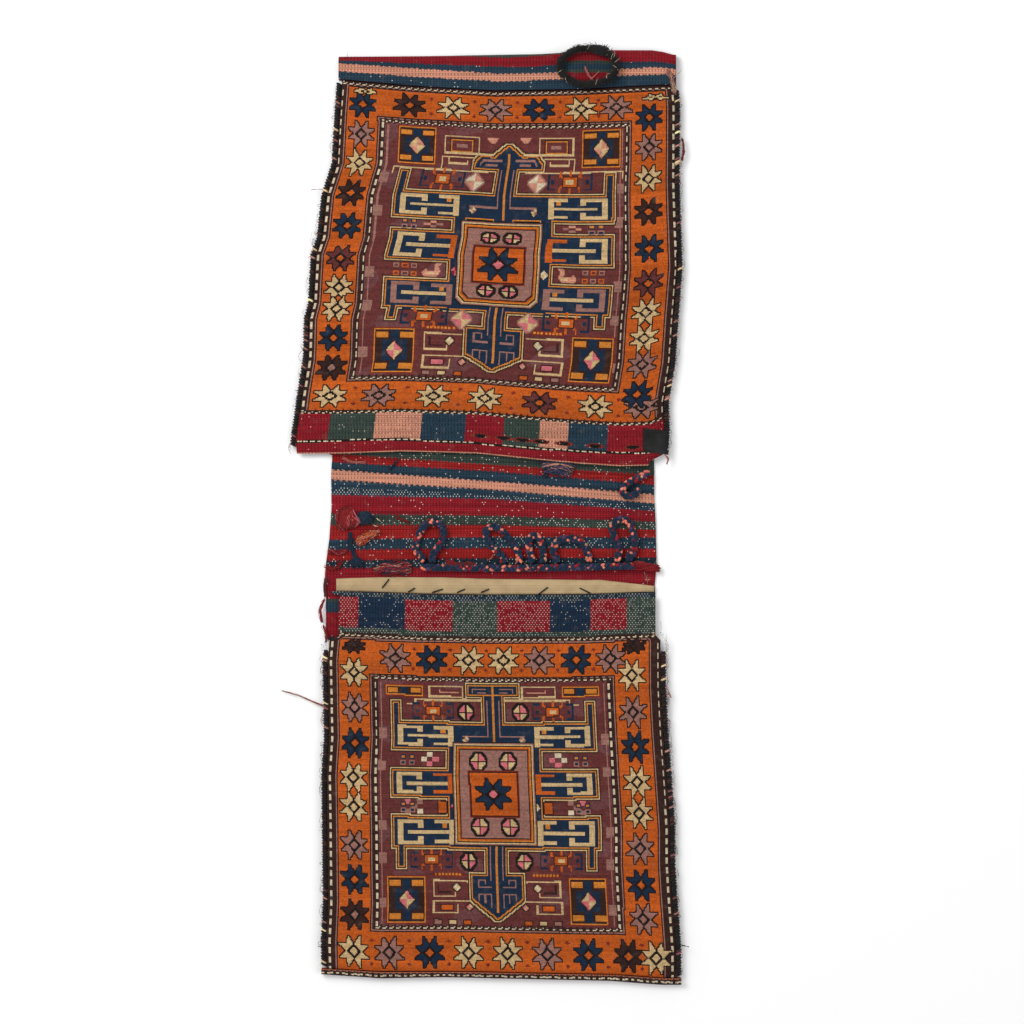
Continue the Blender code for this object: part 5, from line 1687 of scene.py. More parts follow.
@dataclass(frozen=True)
class Braid:
    """A plaited wool cord, given as the frame has its route, in millimetres from the upper lip's middle."""

    name: str
    node: str
    route: tuple[tuple[float, float], ...]
    thick: float = 0.011
    lay: float = 0.021

    def line(self, step: float) -> np.ndarray:
        """Its centre line in the frame."""
        level = PLAN.kilim + 0.0004 + PLAN.clearance + self.thick / 2
        return smooth_line(on_bridge(self.route, level), step)

    def plait(self, seed: int) -> bpy.types.Object:
        """Lays three strands over and under each other.

        Args:
            seed: picks the flecks.

        Returns:
            The piece.
        """
        made = Strands(self.name, 8)
        draw = np.random.default_rng(seed)
        centre = self.line(0.0011)
        side, far = sideways(centre), run_length(centre)
        swing, rise, yarn = self.thick * 0.27, self.thick * 0.17, self.thick * 0.205
        for k in range(3):
            phase = 2 * math.pi * (far / self.lay + k / 3)
            path = centre + side * (swing * np.sin(phase))[:, None]
            path[:, 2] += rise * np.sin(2 * phase)
            path += draw.normal(0, 0.00008, path.shape)
            start, ends = 0, len(path)
            while start < ends - 4:
                size = int(draw.integers(3, 6))
                stop = min(start + size, ends)
                if ends - stop < 5:
                    stop = ends
                chance = draw.random()
                dye, strength = next((found for limit, *found in FLECKS if chance < limit), (Dye.NAVY, 1.0))
                colour = np.array(dye.value) * strength
                slim = 0.8 if chance < 0.24 else 1.0
                swell = slim * (1 + 0.10 * np.sin(np.linspace(0, math.pi, stop - start)))
                made.add(path[start:stop], yarn * swell, colour * draw.uniform(0.75, 1.25))
                start = stop - 1
        return made.make()


# How high above the base braid a loop's foot turns in, then the braids' routes, all in millimetres
FOOT = 7.0
BASE_ROUTE = ((-88, -152.0), (-43, -152.6), (18, -153.0), (79, -152.6), (140, -151.4), (199, -150))
LOOPS = (
    ((-88, 0), (-96, 16), (-94, 31), (-86, 46), (-74, 55.5), (-62, 50), (-58, 38), (-63, 24), (-71, 13),
     (-73.5, 0)),
    ((22.5, 0), (14, 15), (3, 27), (-1, 41), (8, 48.5), (20, 43), (30, 32), (38, 23), (43, 12), (44, 0)),
    ((60.5, 0), (58, 16), (57, 30), (64, 36.5), (72, 31), (76, 16), (76.5, 0)),
    ((94, 0), (90, 14), (94, 26), (105, 31.5), (119, 30.5), (130, 24), (136, 12), (138, 0)),
    ((177.5, 0), (179, 16), (173, 32), (169.5, 46), (177.5, 55), (190, 53.5), (197.5, 40), (200, 22),
     (197.5, 10), (193.5, 0)),
)
END_ROUTE = ((219.5, -23), (208, -29), (197.5, -34), (187.5, -41), (183.5, -49), (189.5, -55.5),
             (199.5, -54), (205.5, -46))


def braids() -> list[Braid]:
    """The base braid, the loops that stand on it and the loose end at the lip.

    Returns:
        The braids, in the order in which they are made.
    """
    found = [Braid("plaited_base", "braid_along_bridge", BASE_ROUTE)]
    at, height = zip(*BASE_ROUTE)
    for number, points in enumerate(LOOPS, 1):
        feet = (points[0][0], FOOT), (points[-1][0], FOOT)
        route = []
        for x, up in points[:1] + feet[:1] + points[1:-1] + feet[1:] + points[-1:]:
            route.append((x, float(np.interp(x, at, height)) + 7.5 + up))
        found.append(Braid(f"plaited_loop_{number}", f"braid_loop_{number}", tuple(route)))
    found.append(Braid("plaited_end", "braid_end_at_lip", END_ROUTE))
    return found


@dataclass(frozen=True)
class Tuft:
    """A lock of loose wool lying on the bridge, thin at both ends."""

    name: str
    node: str
    route: tuple[tuple[float, float], ...]
    wide: float
    dyes: tuple[Dye, ...]
    count: int = 90
    height: float = 0.006
    low: float = 0.0034

    def comb(self, seed: int) -> bpy.types.Object:
        """Lays its yarns side by side, each with its own bend.

        Args:
            seed: picks the bends.

        Returns:
            The piece.
        """
        made = Strands(self.name, 4)
        draw = np.random.default_rng(seed)
        centre = smooth_line(on_bridge(self.route, self.low + self.height / 2), 0.0025)
        side = sideways(centre)
        share = np.linspace(0, 1, len(centre))
        for _ in range(self.count):
            start, stop = draw.uniform(0, 0.42), draw.uniform(0.6, 1.0)
            part = (share >= start) & (share <= stop)
            if part.sum() < 3:
                continue
            lateral = np.clip(draw.normal(0, 0.30), -0.62, 0.62) * self.wide
            fan = 0.45 + 0.75 * share + 0.10 * np.sin(share * draw.uniform(4, 12) + draw.uniform(0, 6))
            fan *= 0.30 + 0.70 * np.sin(math.pi * np.clip(share, 0.02, 0.98)) ** 0.6
            level = draw.uniform(-0.36, 0.40) * self.height * (0.7 + 0.3 * np.sin(math.pi * share))
            path = centre + side * (lateral * fan)[:, None]
            path[:, 2] += level
            path[:, 2] = np.maximum(path[:, 2], self.low + 0.0008)
            colour = np.array(self.dyes[int(draw.integers(len(self.dyes)))].value) * draw.uniform(0.6, 1.35)
            taper = np.clip(np.minimum(share[part] - start, stop - share[part]) / 0.12 + 0.35, 0.3, 1)
            wave = draw.uniform(0.0008, 0.0034) * np.sin(share * draw.uniform(4, 15) + draw.uniform(0, 6))
            path = path + side * wave[:, None]
            made.add(path[part], draw.uniform(0.00030, 0.00062) * taper, colour)
        return made.make()


RED_WOOL = (Dye.RED, Dye.RED, Dye.RUST, Dye.SCARLET)
TUFTS = (
    Tuft("red_lock", "wool_tuft_red", ((-181, -70), (-188, -84), (-184, -102)), 0.026,
         RED_WOOL * 2 + (Dye.PINK,), 420),
    Tuft("navy_lock", "wool_tuft_navy", ((-167, -74), (-165, -86), (-163, -96)), 0.019,
         (Dye.NAVY, Dye.NAVY, Dye.BLUE, Dye.INK), 360),
    Tuft("salmon_lock", "wool_tuft_salmon", ((-142, -102), (-155, -107), (-168, -114), (-176, -124)), 0.009,
         (Dye.SALMON, Dye.SCARLET, Dye.ORANGE, Dye.RUST), 90),
    Tuft("blue_lock", "wool_tuft_blue_end", ((-178, -136), (-176, -145), (-172, -152)), 0.012,
         (Dye.NAVY, Dye.NAVY, Dye.INK), 160),
    Tuft("knotted_lock", "wool_tuft_knotted", ((-155, -157), (-135, -154), (-110, -153.5), (-98.5, -153.5)),
         0.014, (Dye.SALMON, Dye.NAVY, Dye.NAVY, Dye.SCARLET, Dye.RED), 220),
    Tuft("purple_lock", "wool_tuft_at_lip", ((72, -17), (84, -16), (96, -17), (108, -19), (119, -24)), 0.017,
         (Dye.PURPLE, Dye.NAVY, Dye.NAVY, Dye.BLUE, Dye.SALMON), 260),
)


@dataclass(frozen=True)
class LooseWool:
    """A wisp of loose fibres or a stray thread.

    Args:
        route: its line on the frame, in millimetres.
        dyes: yarns to pick from, as letters of LETTERS.
        count: how many fibres it has.
        spread: how far they stray from the line, in millimetres.
        radius: of a fibre, in millimetres.
        height: of the line above the ground, in millimetres.
    """

    route: tuple[tuple[float, float], ...]
    dyes: str
    count: int
    spread: float
    radius: float
    height: float

    def lay(self, made: Strands, draw: np.random.Generator) -> None:
        """Adds its fibres to a piece.

        Args:
            made: the piece.
            draw: where its chances come from.
        """
        centre = smooth_line([(x, y, self.height) for x, y in self.route], 2.8)
        share = np.linspace(0, 1, len(centre))
        for _ in range(self.count):
            bend = np.zeros_like(centre)
            for k in range(3):
                phase = share * draw.uniform(2, 11) + draw.uniform(0, 6.3)
                bend[:, k] = np.sin(phase) * draw.normal(0, self.spread * (0.5 if k < 2 else 0.22))
            path = centre + bend
            path[:, 2] = np.maximum(path[:, 2], self.height - 1.6)
            dye = LETTERS[self.dyes[int(draw.integers(len(self.dyes)))]]
            taper = np.clip(2.6 - 3.2 * np.abs(share - 0.5), 0.4, 1)
            made.add(path / 1000, self.radius / 1000 * taper, np.array(dye.value) * draw.uniform(0.65, 1.3))


LOOSE_WOOL = (
    LooseWool(((199.2, -66.7), (214, -68.1), (231.6, -72.1)), "rru", 150, 4.6, 0.85, 7.6),
    LooseWool(((-184.2, -23.5), (-182.9, -41.1), (-177.5, -57.3), (-168, -69.4)), "nni", 70, 2.6, 0.5, 7),
    LooseWool(((-189.6, -47.8), (-201.8, -50.5), (-213.9, -47.8)), "rrp", 60, 3.2, 0.28, 6),
    LooseWool(((-195, -62.7), (-205.8, -72.1), (-216.6, -69.4)), "rsu", 60, 3.2, 0.28, 6),
    LooseWool(((-123.5, -0.6), (-114, -6), (-104.6, -10)), "ru", 50, 2.4, 0.25, 5.4),
    LooseWool(((-51.9, -64), (-35.7, -69.4), (-18.2, -68.1)), "rus", 150, 5.5, 0.4, 9.5),
    LooseWool(((2.1, -60), (8.8, -54.6), (16.9, -49.2)), "ls", 24, 2.4, 0.25, 6),
    LooseWool(((-148.4, -3.9), (-145.7, -6), (-143, -8)), "w", 10, 0.9, 0.4, 6.4),
    LooseWool(((-153.2, -12.7), (-150.5, -14.1), (-147.1, -14.7)), "w", 8, 0.8, 0.35, 6.4),
    LooseWool(((212.7, -76.2), (216.7, -84.3), (218.1, -92.4)), "wo", 3, 0.5, 0.25, 7),
    LooseWool(((-219.3, -114), (-224.7, -127.5), (-222, -143.7)), "rrp", 50, 2.2, 0.28, 7),
    LooseWool(((-220.7, -149.1), (-216.6, -159.9), (-216.6, -170.7)), "ru", 40, 1.8, 0.28, 8),
    LooseWool(((-216.6, -84.3), (-219.3, -95.1), (-218, -108.6)), "reu", 50, 2, 0.28, 7),
    LooseWool(((-220.7, -257.1), (-238.2, -250.3), (-257.1, -242.2), (-276, -236.8)),
              "gdbl", 16, 1.6, 0.22, 5),
    LooseWool(((-186.9, 627.9), (-187.6, 621.8), (-188.9, 615)), "h", 2, 0.4, 0.18, 11),
    LooseWool(((-236.9, 439.5), (-224.7, 440.9), (-208.5, 436.8)), "r", 3, 0.6, 0.2, 9),
    LooseWool(((-246.3, 224.9), (-253.1, 218.1), (-253.1, 211.4), (-247.7, 206)), "r", 2, 0.4, 0.2, 9),
    LooseWool(((264, 508.4), (266.7, 496.2), (264, 480)), "ua", 26, 2, 0.45, 9),
    LooseWool(((242.4, -230.1), (246.4, -238.2), (249.1, -246.3)), "pl", 8, 1.2, 0.25, 10),
    LooseWool(((247.8, 585.3), (255.9, 593.4), (264, 601.5)), "wl", 3, 0.5, 0.2, 12),
    LooseWool(((243.7, 601.5), (250.5, 588), (254.5, 570.5)), "plrw", 60, 3.2, 0.25, 12),
    LooseWool(((133, 579.9), (142.5, 589.4), (151.9, 598.8)), "l", 2, 0.3, 0.3, 18),
    LooseWool(((133, 604.2), (137.1, 594.8), (143.8, 586.7)), "pl", 30, 2, 0.25, 17),
    LooseWool(((72.3, 76.4), (81.7, 66.9), (79, 53.4)), "nev", 70, 4, 0.25, 6),
    LooseWool(((92.5, 61.5), (103.3, 57.5), (114.1, 65.6)), "nlrn", 60, 2.6, 0.4, 7),
    LooseWool(((-119.4, 75), (-124.8, 69.6), (-131.6, 62.9)), "en", 24, 2, 0.22, 6),
    LooseWool(((-195, 77.7), (-181.5, 72.3), (-162.6, 72.3)), "lp", 14, 2.2, 0.2, 6),
    LooseWool(((-227.4, -582.4), (-222, -581.1), (-215.3, -579.7)), "mh", 6, 0.8, 0.3, 10),
    LooseWool(((259.9, -579.7), (266.7, -581.1), (273.4, -582.4)), "h", 5, 0.8, 0.3, 9),
    LooseWool(((241, 81.8), (245.1, 76.4), (243.7, 69.6)), "rl", 14, 1.2, 0.25, 13),
)


def loose_wool() -> bpy.types.Object:
    """Every stray wisp, and the fuzz along the seams.

    Returns:
        The piece.
    """
    made = Strands("loose_wool", 3)
    draw = np.random.default_rng(160)
    for wisp in LOOSE_WOOL:
        wisp.lay(made, draw)
    fuzz = (Dye.PURPLE, Dye.MAUVE, Dye.WHITE, Dye.RUST, Dye.HAIR, Dye.HAIR)
    for right, out, count in ((0, -1, 80), (1, 1, 150)):
        places = np.concatenate([draw.uniform(PLAN.upper_mouth, PLAN.top_end - 0.05, 80),
                                 draw.uniform(0.01 - PLAN.top_end, PLAN.lower_mouth - 0.05, count)])
        for along_seam in places:
            x = float(PLAN.side_edges(np.array([along_seam]))[right][0]) - 0.0008 * out - MIDDLE[0]
            y = along_seam - MIDDLE[1]
            reach, drop = draw.uniform(0.001, 0.0048), draw.normal(0, 0.004)
            path = [(x, y, 0.008), (x + out * reach, y + drop, 0.009),
                    (x + out * reach * 0.6, y + 2.2 * drop, 0.006)]
            dye = fuzz[int(draw.integers(len(fuzz)))]
            made.add(smooth_line(path, 0.0016), 0.00022, np.array(dye.value) * draw.uniform(0.7, 1.1))
    return made.make()


@dataclass
class HairRing:
    """A ring of wrapped goat hair with a knot, lying on the folded end of the upper pocket."""

    name: str = "hair_ring"
    node: str = "goat_hair_ring"
    long: float = 0.088
    wide: float = 0.060
    hair: float = 0.0115
    knot_at: float = math.radians(62)
    hairs: int = 260
    knot_hairs: int = 70

    def wrap(self) -> bpy.types.Object:
        """Builds the rope, its wrapping, the knot and loose hairs.

        Returns:
            The piece.
        """
        made = Strands(self.name, 6)
        draw = np.random.default_rng(90)
        mx, my = ring_middle()
        mx, my = mx - MIDDLE[0], my - MIDDLE[1]
        r = self.hair / 2
        z = PLAN.face_top + 0.003 + PLAN.clearance + r
        a = np.linspace(0, 2 * math.pi, 97)

        def centre(t: np.ndarray) -> np.ndarray:
            """Points on the ring's middle line at these angles."""
            return np.stack([mx + (self.long / 2 - r) * np.cos(t), my + (self.wide / 2 - r) * np.sin(t),
                             np.full_like(t, z)], 1)

        for k in range(4):
            phase = 2 * math.pi * k / 4 + a * 14
            out = np.stack([np.cos(a) * np.cos(phase), np.sin(a) * np.cos(phase), np.sin(phase)], 1)
            swell = 1 + 0.75 * np.exp(-(((a - self.knot_at) / 0.26) ** 2)) + 0.14 * np.sin(9 * a + k)
            made.add(centre(a) + out * (0.0023 * swell)[:, None], 0.0023 * swell, Dye.HAIR.value)
        for _ in range(self.hairs):
            t0, reach = draw.uniform(0, 2 * math.pi), draw.uniform(0.08, 0.30)
            t = np.linspace(t0, t0 + reach, 6)
            phase = draw.uniform(0, 2 * math.pi) + np.linspace(0, draw.uniform(0.5, 2.5), 6)
            fly = np.linspace(0.75, draw.uniform(0.85, 1.5), 6) * r
            out = np.stack([np.cos(t) * np.cos(phase), np.sin(t) * np.cos(phase),
                            0.8 * np.abs(np.sin(phase))], 1)
            dye = Dye.HAIR.value if draw.random() > 0.06 else Dye.WHITE.value
            made.add(centre(t) + out * fly[:, None], np.linspace(0.0004, 0.00013, 6), dye)
        for _ in range(self.knot_hairs):
            t = self.knot_at + draw.normal(0, 0.12)
            start = centre(np.array([t]))[0] + draw.normal(0, 0.0022, 3) * (1, 1, 0.5)
            way = np.array([draw.normal(0, 1), draw.normal(0.7, 0.7), draw.normal(0, 0.3)])
            way *= draw.uniform(0.004, 0.009) / np.linalg.norm(way)
            s = np.linspace(0, 1, 5)[:, None]
            path = start + way * s + np.array([0.0, 0.0, -0.002]) * s ** 2
            path[:, 2] = np.clip(path[:, 2], z - r, z + r + 0.002)
            made.add(path, np.linspace(0.0006, 0.0002, 5), Dye.HAIR.value)
        return made.make()


class Net:
    """A short way to add and link shader nodes in one tree."""

    def __init__(self, tree: bpy.types.NodeTree) -> None:
        """Keeps the tree."""
        self.tree = tree

    def node(self, kind: str, inputs: dict | None = None, **settings: object) -> bpy.types.Node:
        """Adds a node.

        Args:
            kind: its type.
            inputs: values or sockets for its inputs, by name or number.
            settings: its own properties.

        Returns:
            The node.
        """
        made = self.tree.nodes.new(kind)
        for key, value in settings.items():
            setattr(made, key, value)
        for key, value in (inputs or {}).items():
            socket = made.inputs[key]
            if isinstance(value, bpy.types.NodeSocket):
                self.tree.links.new(value, socket)
            else:
                socket.default_value = value
        return made

    def math(self, operation: str, a: object, b: object = 0.0) -> bpy.types.NodeSocket:
        """The result of a sum of one or two values."""
        return self.node("ShaderNodeMath", {0: a, 1: b}, operation=operation).outputs[0]

    def plus(self, a: object, b: object) -> bpy.types.NodeSocket:
        """Two values added."""
        return self.math("ADD", a, b)

    def times(self, a: object, b: object) -> bpy.types.NodeSocket:
        """Two values multiplied."""
        return self.math("MULTIPLY", a, b)

    def wave(self, value: object) -> bpy.types.NodeSocket:
        """Humps between 0 and 1, one for each whole number."""
        return self.math("ABSOLUTE", self.math("SINE", self.times(value, math.pi)))

    def parity(self, row: object) -> bpy.types.NodeSocket:
        """0 for an even row and 1 for an odd one."""
        return self.math("MODULO", self.math("ABSOLUTE", row), 2.0)

    def grey(self, level: object) -> bpy.types.NodeSocket:
        """A value as a grey colour."""
        return self.node("ShaderNodeCombineColor", {0: level, 1: level, 2: level}).outputs[0]

    def mix(self, factor: object, a: object, b: object, blend: str = "MIX") -> bpy.types.NodeSocket:
        """Two colours blended."""
        made = self.node("ShaderNodeMix", {0: factor, 6: a, 7: b}, data_type="RGBA", blend_type=blend)
        return made.outputs[2]

    def smooth(self, value: object, low: float, high: float) -> bpy.types.NodeSocket:
        """A value's smooth step from low to high."""
        made = self.node("ShaderNodeMapRange", {0: value, 1: low, 2: high}, interpolation_type="SMOOTHSTEP")
        return made.outputs[0]

    def noise(self, vector: object, scale: float, detail: float = 2.0) -> bpy.types.NodeSocket:
        """Smooth noise between 0 and 1."""
        made = self.node("ShaderNodeTexNoise", {"Vector": vector, "Scale": scale, "Detail": detail})
        return made.outputs[0]


def new_group(name: str, inputs: dict[str, str], outputs: dict[str, str]) -> tuple[bpy.types.NodeTree, Net]:
    """An empty shader group with its sockets.

    Args:
        name: the group's name.
        inputs: the kind of each socket, by name.
        outputs: the same for what it gives out.

    Returns:
        The group and a net in it.
    """
    group = bpy.data.node_groups.new(name, "ShaderNodeTree")
    for label, kind in inputs.items():
        group.interface.new_socket(name=label, in_out="INPUT", socket_type=f"NodeSocket{kind}")
    for label, kind in outputs.items():
        group.interface.new_socket(name=label, in_out="OUTPUT", socket_type=f"NodeSocket{kind}")
    return group, Net(group)


def kilim_group() -> bpy.types.NodeTree:
    """Weft-faced plain weave: ribs over the warps, beads row by row and warp showing where it is worn.

    Returns:
        The group, which gives out height, bare warp and the row's tone.
    """
    group, net = new_group("weft faced weave", {"Threads": "Vector", "Warp pitch": "Float",
                                                "Weft pitch": "Float", "Bare": "Float"},
                           {"Height": "Float", "Warp": "Float", "Tone": "Float"})
    given = net.node("NodeGroupInput")
    parts = net.node("ShaderNodeSeparateXYZ", {0: given.outputs["Threads"]})
    wander = net.noise(given.outputs["Threads"], 0.05, 1)
    along_warp = net.math("DIVIDE", parts.outputs[1], given.outputs["Weft pitch"])
    across = net.plus(net.math("DIVIDE", parts.outputs[0], given.outputs["Warp pitch"]),
                      net.times(wander, 0.9))
    row = net.math("FLOOR", along_warp)
    odd = net.times(net.parity(row), 0.5)
    shifted = net.plus(across, odd)
    bead_x = net.wave(shifted)
    bead_y = net.wave(along_warp)
    rib = net.wave(across)
    height = net.plus(net.times(net.times(bead_x, bead_y), 0.6),
                      net.times(rib, 0.5))
    cell = net.node("ShaderNodeCombineXYZ", {0: net.math("FLOOR", net.plus(shifted, 0.5)), 1: row})
    dice = net.node("ShaderNodeTexWhiteNoise", {"Vector": cell.outputs[0]}, noise_dimensions="2D").outputs[0]
    patch = net.smooth(net.noise(given.outputs["Threads"], 0.045, 3), 0.40, 0.62)
    chance = net.times(given.outputs["Bare"], net.plus(0.75, net.times(patch, 0.3)))
    chosen = net.math("LESS_THAN", dice, chance)
    gap = net.times(net.smooth(bead_x, 0.42, 0.26), net.smooth(bead_y, 0.62, 0.84))
    warp = net.times(chosen, gap)
    tone = net.node("ShaderNodeTexWhiteNoise", {"W": row}, noise_dimensions="1D").outputs[0]
    given_out = net.node("NodeGroupOutput")
    for number, value in enumerate((height, warp, tone)):
        group.links.new(value, given_out.inputs[number])
    return group


def wrapped_group() -> bpy.types.NodeTree:
    """Wrapped wefts: short slanted stitches in rows whose lean turns about from row to row.

    Returns:
        The group, which gives out height and the stitch's tone.
    """
    group, net = new_group("wrapped weft", {"Threads": "Vector", "Stitch": "Float",
                                            "Row": "Float"},
                           {"Height": "Float", "Tone": "Float"})
    given = net.node("NodeGroupInput")
    parts = net.node("ShaderNodeSeparateXYZ", {0: given.outputs["Threads"]})
    up = net.math("DIVIDE", parts.outputs[1], given.outputs["Row"])
    row = net.math("FLOOR", up)
    part = net.math("SUBTRACT", up, row)
    way = net.math("SUBTRACT", net.times(net.parity(row), 2.0), 1.0)
    lean = net.times(net.times(part, way), 0.55)
    across = net.plus(net.math("DIVIDE", parts.outputs[0], given.outputs["Stitch"]), lean)
    stitch = net.wave(across)
    crown = net.wave(up)
    height = net.plus(net.times(stitch, 0.45), net.times(crown, 0.65))
    cell = net.node("ShaderNodeCombineXYZ", {0: net.math("FLOOR", across), 1: row})
    tone = net.node("ShaderNodeTexWhiteNoise", {"Vector": cell.outputs[0]}, noise_dimensions="2D").outputs[0]
    out = net.node("NodeGroupOutput")
    group.links.new(height, out.inputs[0])
    group.links.new(tone, out.inputs[1])
    return group


RUBBED = (0.42, 0.34, 0.27, 1.0)


def age_and_shade_group() -> bpy.types.NodeTree:
    """Uneven dye along the wefts, soft fading, wool worn paler on its crowns, and painted shade: the colour
    is darkened where the weave lies low and lightened on its crowns.

    Returns:
        The group, which gives out the colour with its uneven dye, wear and painted shade.
    """
    group, net = new_group("aged yarn", {"Colour": "Color", "Threads": "Vector",
                                         "Height": "Float", "Tone": "Float",
                                         "Abrash": "Float", "Wear": "Float"},
                           {"Colour": "Color"})
    given = net.node("NodeGroupInput")
    stretch = net.node("ShaderNodeVectorMath", {0: given.outputs["Threads"], 1: (0.35, 3.2, 1.0)},
                       operation="MULTIPLY").outputs[0]
    streak = net.noise(stretch, 0.06, 3)
    cloud = net.noise(given.outputs["Threads"], 0.012, 3)
    level = net.plus(1.0, net.times(net.math("SUBTRACT", streak, 0.5),
                                          given.outputs["Abrash"]))
    level = net.plus(level, net.times(net.math("SUBTRACT", given.outputs["Tone"], 0.5), 0.22))
    level = net.plus(level, net.times(net.math("SUBTRACT", cloud, 0.5), 0.35))
    # Painted shade: the colour is multiplied by the weave's height, dark in its hollows and light on its
    # crowns
    level = net.times(level, net.plus(0.34, net.times(given.outputs["Height"], 0.72)))
    grey = net.grey(level)
    # The dye colour times the level above, which holds uneven dye, random tone and the painted shade
    dyed = net.mix(1.0, given.outputs["Colour"], grey, "MULTIPLY")
    rubbed = net.smooth(net.noise(given.outputs["Threads"], 0.09, 5), 0.52, 0.80)
    amount = net.times(net.times(rubbed, given.outputs["Height"]), given.outputs["Wear"])
    worn = net.mix(amount, dyed, RUBBED)
    out = net.node("NodeGroupOutput")
    group.links.new(worn, out.inputs[0])
    return group


def new_material(name: str) -> tuple[bpy.types.Material, Net, bpy.types.NodeSocket]:
    """An empty material.

    Args:
        name: its name.

    Returns:
        The material, a net in it and its thread coordinates.
    """
    made = bpy.data.materials.new(name)
    made.use_nodes = True
    net = Net(made.node_tree)
    return made, net, net.node("ShaderNodeUVMap", uv_map="threads").outputs[0]


def dress_wool(material: bpy.types.Material, colour: object, bump: tuple[object, float, float],
               rough: float = 0.9, sheen: float = 0.02) -> None:
    """Gives a material's surface the look of wool.

    Args:
        material: what is dressed.
        colour: its colour.
        bump: height, depth in metres and strength of its unevenness.
        rough: how dull it is.
        sheen: how much light its fuzz catches.
    """
    shader = material.node_tree.nodes["Principled BSDF"]
    height, depth, strength = bump
    raised = Net(material.node_tree).node("ShaderNodeBump", {"Height": height, "Distance": depth,
                                                             "Strength": strength})
    material.node_tree.links.new(colour, shader.inputs["Base Color"])
    material.node_tree.links.new(raised.outputs[0], shader.inputs["Normal"])
    for label, value in (("Roughness", rough), ("Specular IOR Level", 0.10), ("Sheen Weight", sheen),
                         ("Sheen Roughness", 0.6)):
        shader.inputs[label].default_value = value


# From warp to warp and weft to weft, and a wrapped stitch's width and its row's height, in millimetres
WARP_PITCH, WEFT_PITCH = 4.1, 2.75
STITCH, STITCH_ROW = 2.2, 1.55
BARE_WARP = (0.72, 0.66, 0.57, 1.0)


@dataclass(frozen=True)
class WovenWool:
    """Dyed wool cloth: wrapped stitches and weft-faced weave, each where its mask says.

    Args:
        name: the material's name.
        abrash: how uneven the dye is.
        wear: how rubbed the crowns are.
        relief: depth of the weave, in metres.
    """

    name: str
    abrash: float = 0.42
    wear: float = 0.12
    relief: float = 0.0007

    def material(self, groups: dict[str, bpy.types.NodeTree]) -> bpy.types.Material:
        """Builds the material from the shared groups.

        Args:
            groups: the shader groups, by name.

        Returns:
            The material.
        """
        made, net, threads = new_material(self.name)
        yarn = net.node("ShaderNodeVertexColor", layer_name="yarn").outputs[0]
        masks = net.node("ShaderNodeSeparateColor",
                         {0: net.node("ShaderNodeVertexColor", layer_name="weave").outputs[0]})
        plain = net.node("ShaderNodeGroup", node_tree=groups["kilim"],
                         inputs={"Threads": threads, "Warp pitch": WARP_PITCH, "Weft pitch": WEFT_PITCH,
                                 "Bare": masks.outputs[1]})
        wrapped = net.node("ShaderNodeGroup", node_tree=groups["wrapped"],
                           inputs={"Threads": threads, "Stitch": STITCH, "Row": STITCH_ROW})
        height = net.node("ShaderNodeMix", {0: masks.outputs[0], 2: wrapped.outputs[0], 3: plain.outputs[0]})
        tone = net.node("ShaderNodeMix", {0: masks.outputs[0], 2: wrapped.outputs[1], 3: plain.outputs[2]})
        # This group also paints shade into the colour: darker where the weave lies low, lighter on its crowns
        aged_and_shaded = net.node("ShaderNodeGroup", node_tree=groups["age"],
                        inputs={"Colour": yarn, "Threads": threads, "Height": height.outputs[0],
                                "Tone": tone.outputs[0], "Abrash": self.abrash, "Wear": self.wear})
        shown = net.times(plain.outputs[1], masks.outputs[0])
        shown = net.times(shown, net.math("SUBTRACT", 0.9, masks.outputs[2]))
        colour = net.mix(shown, aged_and_shaded.outputs[0], BARE_WARP)
        dress_wool(made, colour, (height.outputs[0], self.relief, 0.8))
        return made


@dataclass(frozen=True)
class SpunYarn:
    """Loose or plaited yarn: its own dye, with twisted fibres and painted shade in the grooves between them.

    Args:
        name: the material's name.
        twist: turns of the fibres in a millimetre.
        rough: how dull it is.
    """

    name: str
    twist: float = 0.8
    rough: float = 0.85

    def material(self) -> bpy.types.Material:
        """Builds the material.

        Returns:
            The material.
        """
        made, net, threads = new_material(self.name)
        parts = net.node("ShaderNodeSeparateXYZ", {0: threads})
        phase = net.plus(net.times(parts.outputs[0], 3.0),
                         net.times(parts.outputs[1], self.twist))
        fibre = net.wave(phase)
        place = net.node("ShaderNodeTexCoord").outputs["Object"]
        fuzz = net.noise(place, 900.0, 3)
        height = net.plus(fibre, fuzz)
        yarn = net.node("ShaderNodeVertexColor", layer_name="yarn").outputs[0]
        # Painted shade: the yarn's colour is darkened in the grooves of the twist, with random fuzz tone on
        # top
        level = net.plus(0.55, net.times(height, 0.42))
        grey = net.grey(level)
        dress_wool(made, net.mix(1.0, yarn, grey, "MULTIPLY"), (height, 0.0004, 0.7), self.rough, 0.06)
        return made


